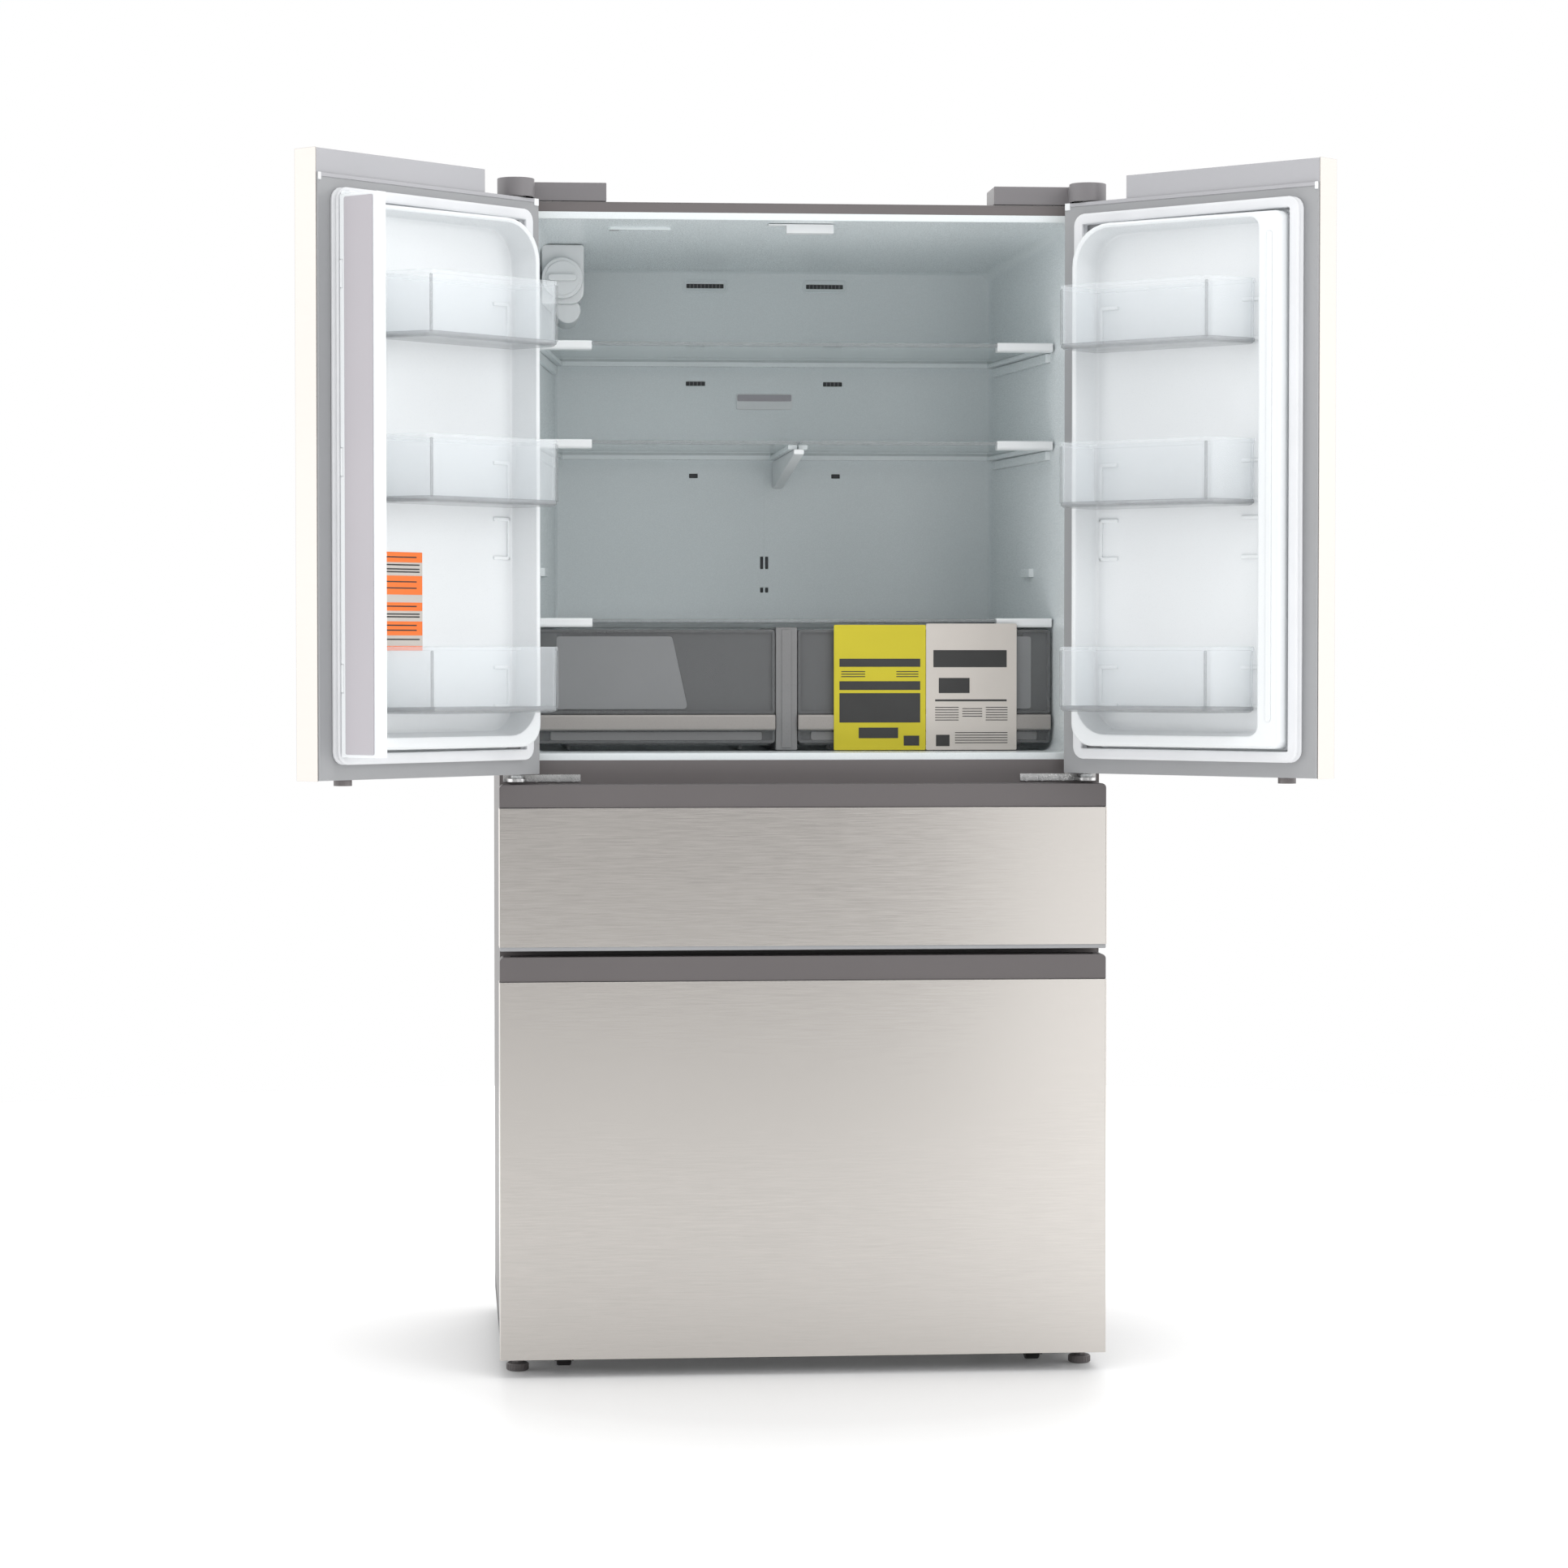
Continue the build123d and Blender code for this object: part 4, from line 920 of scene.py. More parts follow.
class FRIDGE_OT_stage(bpy.types.Operator):
    """Floor, soft lights and camera"""

    bl_idname = "fridge.stage"
    bl_label = "Stage"

    def execute(self, context):
        stage = context.scene.fridge_stage
        self.light_world(context.scene, stage)
        for name, place, target, size, power in LAMPS:
            lamp = bpy.data.lights.new(name, "AREA")
            lamp.shape = "RECTANGLE"
            lamp.size, lamp.size_y = size
            lamp.energy = power
            holder = bpy.data.objects.new(name, lamp)
            context.scene.collection.objects.link(holder)
            self.aim(holder, place, Vector(target) - Vector(place))
            holder.visible_camera = False
        self.add_floor(context.scene)
        self.add_camera(context.scene, stage)
        context.scene.view_settings.view_transform = "Standard"
        context.scene.cycles.transparent_max_bounces = CLEAR_LAYERS
        return {"FINISHED"}

    def aim(self, holder, place, way):
        """Puts a lamp or the camera in its place, pointing one way."""
        holder.location = place
        holder.rotation_mode = "QUATERNION"
        holder.rotation_quaternion = way.to_track_quat("-Z", "Y")

    def light_world(self, scene, stage):
        """Soft light all round: dim behind the camera, brighter low down, right and behind."""
        world = bpy.data.worlds.new("Studio")
        scene.world = world
        world.use_nodes = True
        tree = world.node_tree
        place = tree.nodes.new("ShaderNodeTexCoord").outputs["Generated"]
        x, y, z = add_node(tree, "ShaderNodeSeparateXYZ", i0=place).outputs
        dim, back, slope = stage.front_light, stage.back_light, stage.side_slope

        def blend(factor, one, other):
            """One level where the factor is 0, the other where it is 1."""
            return add_node(tree, "ShaderNodeMix", i0=factor, i2=one, i3=other).outputs[0]

        low = ranged(tree, z, -0.165, -0.050, LOW_LIGHT * dim, dim)
        high = ranged(tree, z, 0.10, 0.45, dim, back)
        near_edge = maths(tree, "MULTIPLY_ADD", y, slope, x)
        far_edge = maths(tree, "MULTIPLY_ADD", y, 2 * slope, x)
        begun = ranged(tree, near_edge, -0.010, 0.010, 0.0, 1.0)
        not_past = ranged(tree, far_edge, -0.010, 0.050, 1.0, 0.0)
        panel = maths(tree, "MULTIPLY", begun, not_past)
        front = blend(panel, maths(tree, "MAXIMUM", low, high), stage.side_light)
        level = blend(ranged(tree, y, -0.75, 0.0, 0.0, 1.0), front, back)
        beside = ranged(tree, maths(tree, "ABSOLUTE", x), 0.80, 0.90, 0.0, 1.0)
        upright = ranged(tree, maths(tree, "ABSOLUTE", z), 0.30, 0.45, 1.0, 0.0)
        level = blend(maths(tree, "MULTIPLY", beside, upright), level, stage.strip_light)
        seen = tree.nodes.new("ShaderNodeLightPath").outputs["Is Camera Ray"]
        background = tree.nodes["Background"].inputs
        tree.links.new(blend(seen, level, 1.0), background["Strength"])
        background["Color"].default_value = (1, 1, 1, 1)

    def add_floor(self, scene):
        """A pale disc that fades to white towards its rim."""
        shape = bmesh.new()
        bmesh.ops.create_circle(shape, cap_ends=True, segments=96, radius=FLOOR_RADIUS)
        mesh = bpy.data.meshes.new("floor")
        shape.to_mesh(mesh)
        shape.free()
        material = finish("floor")
        tree = material.node_tree
        place = tree.nodes.new("ShaderNodeTexCoord").outputs["Object"]
        length_of = {"operation": "LENGTH"}
        distance = add_node(tree, "ShaderNodeVectorMath", length_of, i0=place).outputs["Value"]
        shader = tree.nodes["Principled BSDF"].inputs
        shader["Emission Color"].default_value = (1, 1, 1, 1)
        tree.links.new(ranged(tree, distance, *FLOOR_FADE), shader["Emission Strength"])
        mesh.materials.append(material)
        floor = bpy.data.objects.new("floor", mesh)
        scene.collection.objects.link(floor)

    def add_camera(self, scene, stage):
        """The camera, turned and tilted as the stage says."""
        data = bpy.data.cameras.new("Camera")
        data.lens = stage.lens
        data.sensor_width = 36.0
        camera = bpy.data.objects.new("Camera", data)
        scene.collection.objects.link(camera)
        scene.camera = camera
        level = math.cos(stage.pitch)
        ahead = (math.sin(stage.yaw) * level, math.cos(stage.yaw) * level, -math.sin(stage.pitch))
        self.aim(camera, (stage.side, FRONT - stage.stand, stage.height), Vector(ahead))


# ---------------------------------------------------------------- the pieces
class FRIDGE_OT_cabinet(bpy.types.Operator):
    """Steel case, front rail and rear cover, with their edges folded round"""

    bl_idname = "fridge.cabinet"
    bl_label = "Cabinet"

    def execute(self, context):
        edge = sizes().steel_edge
        soften_piece("case_shell", "cabinet_case", "case", edge * 0.8)
        soften_piece("front_flange", "cabinet_front_rail", "trim", edge * 0.7)
        soften_piece("base_frame", "cabinet_base", "black", edge)
        soften_piece("machine_cover", "rear_cover", "galvanised", edge * 0.5)
        self.rear_panel()
        return {"FINISHED"}

    def rear_panel(self):
        """The rear panel with pressed beads, and screws along its sides and top."""
        beads, half, raised = 5, 0.014, 0.0016
        inset, rows = 0.012, 7
        low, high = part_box("rear_panel")
        slot = "galvanised_steel"
        shape = softened("rear_panel", 0.0004)
        across = [low.x + (high.x - low.x) * i / (beads + 1) for i in range(1, beads + 1)]
        for x in across:
            outline = rectangle((x - half, low.z + 0.16), (x + half, high.z - 0.12), half - 0.0005)
            prism(shape, outline, "y", high.y - 0.0008, high.y + raised, raised)
        make_piece("rear_panel_beads", shape, ["galvanised"], slot=slot, stands_for=["rear_panel"])
        face = high.y + 0.0003
        places = []
        for i in range(rows):
            z = low.z + inset + (high.z - low.z - 2 * inset) * i / (rows - 1)
            places += [(low.x + inset, face, z), (high.x - inset, face, z)]
        places += [(x, face, high.z - inset) for x in across]
        screws("rear_panel_screws", places, (0, 1, 0))


class FRIDGE_OT_fresh_food_liner(bpy.types.Operator):
    """Moulded liner of the fresh food space, with its shelf ledges"""

    bl_idname = "fridge.fresh_food_liner"
    bl_label = "Fresh food liner"

    def execute(self, context):
        s = sizes()
        wall, lip, corner = s.liner_wall, s.opening_lip, s.liner_corner
        back = WALL_BACK - wall
        steps = (                        # depth, how far in from the wall, and corner radius
            (WALL_BACK, -wall, corner),
            (MOUTH + 0.0012, -wall, corner),
            (MOUTH + 0.0012, -lip, 0.012),
            (MOUTH + 0.0004, -lip, 0.012),
            (MOUTH, 0.0006 - lip, 0.012),
            (MOUTH, -0.0022, corner),
            (MOUTH + 0.0007, -0.0007, corner),
            (MOUTH + 0.0022, 0.0, corner),
            (back - 0.020, 0.0, corner),
            (back - 0.010, 0.0027, corner),
            (back - 0.003, 0.010, corner),
            (back, 0.020, corner),
        )
        shape = bmesh.new()
        loft(shape, [placed("y", space_outline(*step), step[0]) for step in steps])
        self.ledges(shape)
        make_piece("fresh_food_liner", shape, ["inside"], stands_for=["fridge_liner"])
        soften_piece("mid_liner", "middle_drawer_liner", "liner", 0.0018)
        soften_piece("freezer_liner", "freezer_liner_moulding", "liner", 0.0018)
        return {"FINISHED"}

    def ledges(self, shape):
        """Ledges under the shelves and pegs for the spare shelf places, on both side walls."""
        out, tall, sunk = 0.007, 0.014, 0.0015
        levels = [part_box(node)[0].z for node in ("shelf_top", "shelf_left")]
        glass_low, glass_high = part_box("shelf_top")
        front, back = glass_low.y + 0.03, glass_high.y - 0.01
        rows = [(level - 0.0005, front, back) for level in levels]
        rows.append((levels[1] - 0.178, front + 0.10, front + 0.16))
        for top, near, far in rows:
            for side in (-1, 1):
                points = (
                    (side * (wall_at(near) + sunk), near),
                    (side * (wall_at(near) - out), near + 0.004),
                    (side * (wall_at(far) - out), far - 0.004),
                    (side * (wall_at(far) + sunk), far),
                )
                outline = rounded(points, (0.0008, 0.004, 0.004, 0.0008), 3)
                prism(shape, outline, "z", top - tall, top, 0.002)


class FRIDGE_OT_air_panel(bpy.types.Operator):
    """Back panel with its air vents, sensor holes and plain plate"""

    bl_idname = "fridge.air_panel"
    bl_label = "Air panel"

    TOP_VENTS = (-0.111, 0.0825)         # across, from the middle
    LOWER_VENTS = (-0.1265, 0.0955)
    SENSORS = (-0.130, 0.1005)
    LADDER = (-0.0195, -0.0115)
    SLOT_HEIGHT = 0.007

    def execute(self, context):
        low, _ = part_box("air_panel")
        soften_piece("air_panel", "air_panel_moulding", "inside", 0.0012)
        top, shelf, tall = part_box("shelf_top")[1].z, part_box("shelf_left")[1].z, self.SLOT_HEIGHT
        vents = [(x, top + 0.1205, 0.060, tall) for x in self.TOP_VENTS]
        vents += [(x, top - 0.0365, 0.031, tall) for x in self.LOWER_VENTS]
        holes = [(x, shelf - 0.036, 0.014, tall) for x in self.SENSORS]
        for z, height in ((shelf - 0.176, 0.020), (shelf - 0.220, 0.008)):
            holes += [(x, z, 0.005, height) for x in self.LADDER]
        # near-black blocks behind every vent and hole: painted shade standing in for the dark duct
        # behind the panel
        shape = bmesh.new()
        for x, z, wide, height in vents + holes:
            across, up = wide / 2, height / 2
            one = (x - across - 0.001, low.y + 0.0045, z - up - 0.001)
            other = (x + across + 0.001, low.y + 0.0075, z + up + 0.001)
            block(shape, one, other, 0.0005)
        make_piece("air_panel_vent_backs", shape, ["shadow"], slot="black_plastic")
        # real louvre bars, given the darker divider grey as painted shade inside the vents
        for i, (x, z, wide, height) in enumerate(vents):
            number = sizes().vent_bars if wide > 0.05 else sizes().vent_bars // 2
            pitch = wide / (number + 1)
            start, step = (x - wide / 2 + pitch, low.y + 0.0038, z), (pitch, 0, 0)
            row(f"air_panel_vent_{i + 1}", number, start, step, (0.0012, 0.0030, height), "divider")
        self.relief(low.y)
        return {"FINISHED"}

    def relief(self, face):
        """Raised frames round the vents, a plain plate and the seam down the middle."""
        shape = bmesh.new()
        plate = rectangle((-0.0605, 1.467), (0.030, 1.4925), 0.003)
        prism(shape, plate, "y", face - 0.0022, face + 0.001, 0.0008)
        label = rectangle((-0.0590, 1.4805), (0.0285, 1.4910), 0.002)
        prism(shape, label, "y", face - 0.0030, face + 0.001, 0.0004, 1)
        make_piece("air_panel_plate", shape, ["bracket", "flap"])
        seam = bmesh.new()
        block(seam, (-0.0163, face - 0.0006, 1.234), (-0.0147, face + 0.001, 1.375), 0.0003)
        for x in self.TOP_VENTS:
            outer = rectangle((x - 0.036, 1.655), (x + 0.036, 1.676), 0.006)
            inner = shrunk(outer, 0.0035)
            loops = (
                (outer, face + 0.001),
                (outer, face - 0.0008),
                (shrunk(outer, 0.0008), face - 0.0016),
                (shrunk(outer, 0.0027), face - 0.0016),
                (inner, face - 0.0008),
                (inner, face + 0.001),
            )
            loft(seam, [placed("y", outline, depth) for outline, depth in loops], ring=True)
        make_piece("air_panel_relief", seam, ["inside"])


class FRIDGE_OT_ceiling(bpy.types.Operator):
    """Sensor on the ceiling and the guide for the flap"""

    bl_idname = "fridge.ceiling"
    bl_label = "Ceiling"

    def execute(self, context):
        soften_piece("mullion_guide", "flap_guide", "bracket", 0.0022)
        shape = bmesh.new()
        near, far = MOUTH + 0.072, MOUTH + 0.090
        level = ceiling_at(far) - 0.0030
        case = rectangle((-0.285, near), (-0.190, far), 0.006)
        prism(shape, case, "z", level, level + 0.006, 0.0014)
        eye = (-0.2825, near + 0.006, level - 0.0008), (-0.2680, far - 0.006, level + 0.001)
        block(shape, *eye, 0.0004, 1)
        make_piece("ceiling_sensor", shape, ["inside", "divider"])
        return {"FINISHED"}


class FRIDGE_OT_shelves(bpy.types.Operator):
    """Glass shelves in their white frames, and the bracket under the split shelf"""

    bl_idname = "fridge.shelves"
    bl_label = "Shelves"

    RAIL = 0.014                         # width of the rails beside the glass
    NOSE = 0.018                         # depth of the front trim
    GAP = 0.0012                         # between a shelf and the wall

    def execute(self, context):
        self.shelf("shelf_top", True, True)
        self.shelf("shelf_left", True, False)
        self.shelf("shelf_right", False, True)
        self.shelf("crisper_cover", True, True, whole=False)
        soften_piece("shelf_bracket", "split_shelf_bracket", "bracket", 0.002)
        self.divider()
        return {"FINISHED"}

    def shelf(self, node, left_wall, right_wall, whole=True):
        """One shelf: front trim with white end brackets, rear and side rails, and its glass."""
        s = sizes()
        low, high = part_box(node)
        left = (lambda depth: self.GAP - wall_at(depth)) if left_wall else (lambda depth: low.x)
        right = (lambda depth: wall_at(depth) - self.GAP) if right_wall else (lambda depth: high.x)
        top = high.z
        bottom = low.z if whole else top - 0.012
        face, trim, far = low.y, low.y + self.NOSE, high.y
        shape = bmesh.new()
        nose = rectangle((face, top - 0.0062), (trim, top), (0.0026, 0.001, 0.001, 0.0026), 4)
        x0, x1 = left(trim), right(trim)
        prism(shape, nose, "x", x0, x1, 0.0008, 1)
        corners = (face - 0.0002, bottom - 0.0008), (trim + 0.004, top + 0.0012)
        section = rectangle(*corners, (0.005, 0.001, 0.001, 0.003), 4)
        if left_wall:
            prism(shape, section, "x", x0, x0 + s.bracket, 0.0014)
        if right_wall:
            prism(shape, section, "x", x1 - s.bracket, x1, 0.0014)
        block(shape, (left(far), far - 0.012, bottom), (right(far), far, top + 0.0006), 0.002, 2)
        start, end = face + 0.028, far - 0.008
        for rail, outer in ((self.RAIL, left), (-self.RAIL, right)):
            points = (
                (outer(start), start),
                (outer(start) + rail, start),
                (outer(end) + rail, end),
                (outer(end), end),
            )
            outline = rounded(points, (0.001,) * 4, 2)
            prism(shape, outline, "z", bottom, top - s.glass, 0.0015, 2)
        slot = "white_bracket" if whole else SLOT_OF[node]
        finishes = ["bracket", "clear_edge", "inside"]
        make_piece(f"{node}_frame", shape, finishes, slot=slot, stands_for=[node])
        pane = bmesh.new()
        near, end = face + 0.008, far - 0.011
        points = ((left(near), near), (right(near), near), (right(far), end), (left(far), end))
        outline = shrunk(rounded(points, (0.004,) * 4, 3), 0.0015)
        under = top - s.glass
        steps = ((0.0006, under), (0, under + 0.0006), (0, top - 0.0006), (0.0006, top))
        loft(pane, layers("z", outline, steps), bands=(0, 1, 0, 0))
        make_piece(f"{node}_glass", pane, ["glass", "glass_edge"], slot="shelf_glass")

    def divider(self):
        """The wall between the crispers, set back a little behind their fronts."""
        left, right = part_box("crisper_left")[1].x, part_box("crisper_right")[0].x
        low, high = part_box("crisper_cover")
        shape = bmesh.new()
        near, far, top = low.y + 0.004, high.y - 0.002, high.z - 0.0125
        block(shape, (left + 0.0006, near, low.z), (right - 0.0006, far, top), 0.003)
        near, far, top = low.y + 0.0025, low.y + 0.0045, high.z - 0.016
        block(shape, (left + 0.010, near, low.z + 0.004), (right - 0.010, far, top), 0.0008)
        make_piece("crisper_divider", shape, ["divider"])


class FRIDGE_OT_crispers(bpy.types.Operator):
    """Smoky crispers, each with a framed front, a grip bar and runners"""

    bl_idname = "fridge.crispers"
    bl_label = "Crispers"

    WINDOW = (0.3625, 0.187, 0.163, 0.3625)  # the corners of the frosted window, from the middle

    def execute(self, context):
        self.crisper("crisper_left", -1)
        self.crisper("crisper_right", 1)
        return {"FINISHED"}

    def crisper(self, node, side):
        """One crisper: its tub, its framed front, the grip bar and the runners."""
        low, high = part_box(node)
        face, front = low.y + 0.008, low.y + 0.008 + 0.008
        top, bottom = high.z, low.z + 0.006
        x0, x1 = low.x, high.x
        wall_end = wall_at(high.y) - 0.004
        ends = (x0, wall_end) if side > 0 else (-wall_end, x1)
        shape = bmesh.new()
        outline = rectangle((ends[0], front - 0.001), (ends[1], high.y), 0.016)
        tub(shape, outline, bottom, top - 0.001, 0.003, base=1)
        # the front: a panel with a raised frame round its upper window and its lower one
        panel = rectangle((x0, bottom + 0.004), (x1, top), 0.006)
        prism(shape, panel, "y", face + 0.003, front + 0.0005, 0.001)
        steps = (
            (0, face + 0.0035),
            (0, face + 0.0012),
            (0.0012 * 0.8, face),
            (0.0050 * 0.8, face),
            (0.0062 * 0.8, face + 0.0012),
            (0.0062 * 0.8, face + 0.0035),
        )
        for z0, z1 in ((bottom + 0.048, top), (bottom + 0.004, bottom + 0.026)):
            frame_outline = rectangle((x0, z0), (x1, z1), 0.005)
            loft(shape, layers("y", frame_outline, steps), finish=1, ring=True)
        strip = rectangle((x0 + 0.020, bottom + 0.0085), (x1 - 0.020, bottom + 0.0215), 0.003)
        prism(shape, strip, "y", face + 0.0015, face + 0.004, 0.0008, 2)
        levels = (top - 0.0105, top - 0.0105, bottom + 0.056, bottom + 0.056)
        points = [(side * x, z) for x, z in zip(self.WINDOW, levels)]
        window = rounded(points, (0.004, 0.006, 0.006, 0.004), 4)
        prism(shape, window, "y", face + 0.0018, face + 0.0035, 0.0005, 3)
        finishes = ["smoke", "smoke", "divider", "window"]
        make_piece(f"{node}_body", shape, finishes, node, "smoky_plastic", [node])
        grip = bmesh.new()
        corners = (low.y, bottom + 0.024), (face + 0.004, bottom + 0.0475)
        prism(grip, rectangle(*corners, (0.0035, 0.0005, 0.0005, 0.0035), 4), "x", x0, x1, 0.0012)
        make_piece(f"{node}_grip", grip, ["grip"], node, "smoky_plastic")
        slide = bmesh.new()
        for x in (x0 + 0.045, x1 - 0.055):
            far = (x + 0.006, high.y - 0.006, bottom + 0.0015)
            block(slide, (x, front + 0.01, low.z), far, 0.001)
        make_piece(f"{node}_runners", slide, ["smoke"], node, "smoky_plastic")


class FRIDGE_OT_water_filter(bpy.types.Operator):
    """Housing of the water filter, with its round twist cap"""

    bl_idname = "fridge.water_filter"
    bl_label = "Water filter"

    GAP = 0.0008                         # between the housing and the walls
    TUBE = 0.020                         # radius of the inlet tube and of the cartridge

    def execute(self, context):
        low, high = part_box("filter_housing")
        centre = Vector(JOINTS["filter_cap_twist"]["pos_m"])
        near, far = low.y, high.y
        shape = bmesh.new()
        loops = []
        steps = (
            (0.004, near),
            (0.0012, near + 0.0012),
            (0, near + 0.004),
            (0, far - 0.004),
            (0.004, far),
        )
        for inset, depth in steps:
            corners = (
                (self.GAP - wall_at(depth), centre.z - 0.0395),
                (high.x, ceiling_at(depth) - self.GAP),
            )
            outline = rectangle(*corners, (0.004, 0.020, 0.005, 0.004))
            loops.append(placed("y", shrunk(outline, inset), depth))
        loft(shape, loops)
        x, z = centre.x + 0.009, low.z + 0.0205
        bar(shape, (x, near + 0.008, z), (x, near + 0.12, z), self.TUBE, 0.004)
        make_piece("filter_housing_moulding", shape, ["bracket"], stands_for=["filter_housing"])
        self.cap(centre)
        return {"FINISHED"}

    def cap(self, centre):
        """The twist cap: a stepped disc with a raised grip, and the cartridge behind it."""
        low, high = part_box("filter_cap")
        radius = (high.x - low.x) / 2
        face, behind = low.y + 0.010, high.y - 0.09
        shape = bmesh.new()
        for start, end, round_by, edge, sides in (
            (behind, face, radius, 0.003, 56),
            (face + 0.001, face - 0.0022, radius * 0.82, 0.0015, 56),
            (high.y, high.y - 0.091, self.TUBE, 0.002, 40),
        ):
            line = (centre.x, start, centre.z), (centre.x, end, centre.z)
            bar(shape, *line, round_by, edge, sides=sides)
        corners = (centre.x - 0.022, centre.z - 0.005), (centre.x + 0.022, centre.z + 0.005)
        prism(shape, rectangle(*corners, 0.0048), "y", low.y, face, 0.0015)
        make_piece("filter_twist_cap", shape, ["bracket"], "filter_cap", stands_for=["filter_cap"])


class FRIDGE_OT_doors(bpy.types.Operator):
    """Steel skins and painted backs of both doors"""

    bl_idname = "fridge.doors"
    bl_label = "Doors"

    def execute(self, context):
        for side, space in DOORS.items():
            skin, pan = f"{side}_door_skin", f"{side}_door_pan"
            soften_piece(skin, f"{side}_door_steel", "steel", sizes().steel_edge * 0.7)
            shape = softened(pan, 0.0014)
            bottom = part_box(skin)[0].z
            for face in shape.faces:
                height = face.calc_center_median().z
                is_cap, is_foot = height > CASE_TOP - 0.0002, height < bottom + 0.0003
                face.material_index = 1 if is_cap else 2 if is_foot else 0
            self.trims(shape, side, space)
            finishes = ["pan", "cap", "trim", "bracket"]
            make_piece(f"{side}_door_back", shape, finishes, f"{side}_door", "dark_trim", [pan])
        return {"FINISHED"}

    def trims(self, shape, side, space):
        """A ridge under the cap, and white corner pieces at both ends of it."""
        low, high = reach(f"{side}_door_pan", space)
        back = reach(f"{side}_door_gasket", space)[0].y
        part = bmesh.new()
        one = (low.x + 0.004, back - 0.001, CASE_TOP - 0.0062)
        block(part, one, (high.x - 0.004, back + 0.0011, CASE_TOP - 0.0008), 0.0005, 1)
        for x0, x1 in ((low.x + 0.0005, low.x + 0.010), (high.x - 0.0055, high.x - 0.0003)):
            one = (x0, back - 0.008, CASE_TOP - 0.011)
            block(part, one, (x1, back + 0.0014, CASE_TOP - 0.0004), 0.0008, 3)
        face_outwards(part, space)
        add_part(shape, part, None)


class FRIDGE_OT_gaskets(bpy.types.Operator):
    """Soft gaskets with bellows and a magnet bulb, round both doors and both drawer fronts"""

    bl_idname = "fridge.gaskets"
    bl_label = "Gaskets"

    CORNER = 0.62                        # radius of a corner, as a share of the width

    def execute(self, context):
        for side, space in DOORS.items():
            self.gasket(f"{side}_door_gasket", f"{side}_door_seal", f"{side}_door", space)
        for name, body in (("mid", "middle_drawer"), ("lower", "freezer_drawer")):
            self.gasket(f"{name}_gasket", f"{name}_drawer_seal", body, WORLD)
        return {"FINISHED"}

    def gasket(self, node, name, body, space):
        """One gasket, swept round the path that its frame node takes."""
        low, high = reach(node, space)
        width = self.rim_width(node, space, low)
        a0, a1 = low.x + width / 2, high.x - width / 2
        z0, z1 = low.z + width / 2, high.z - width / 2
        path = bpy.data.meshes.new("path")
        corners = [(a0, z0, 0), (a1, z0, 0), (a1, z1, 0), (a0, z1, 0)]
        path.from_pydata(corners, [(0, 1), (1, 2), (2, 3), (3, 0)], [])
        section = dict(Width=width, Depth=high.y - low.y, Corner=width * self.CORNER)
        section.update(Waist=sizes().gasket_waist, Finish=finish("gasket"))
        made = grown(name, gasket_tree, path, **section)
        stand = Matrix(((1, 0, 0, 0), (0, 0, -1, (low.y + high.y) / 2), (0, 1, 0, 0), (0, 0, 0, 1)))
        grown_piece(name, made, "gasket", body, [node], space @ stand)

    def rim_width(self, node, space, low):
        """How wide the gasket is, from the first step in from its edge."""
        back = space.inverted()
        values = sorted({round((back @ v.co).x, 5) for v in frame["nodes"][node].data.vertices})
        return next(v for v in values if v > low.x + 0.004) - low.x


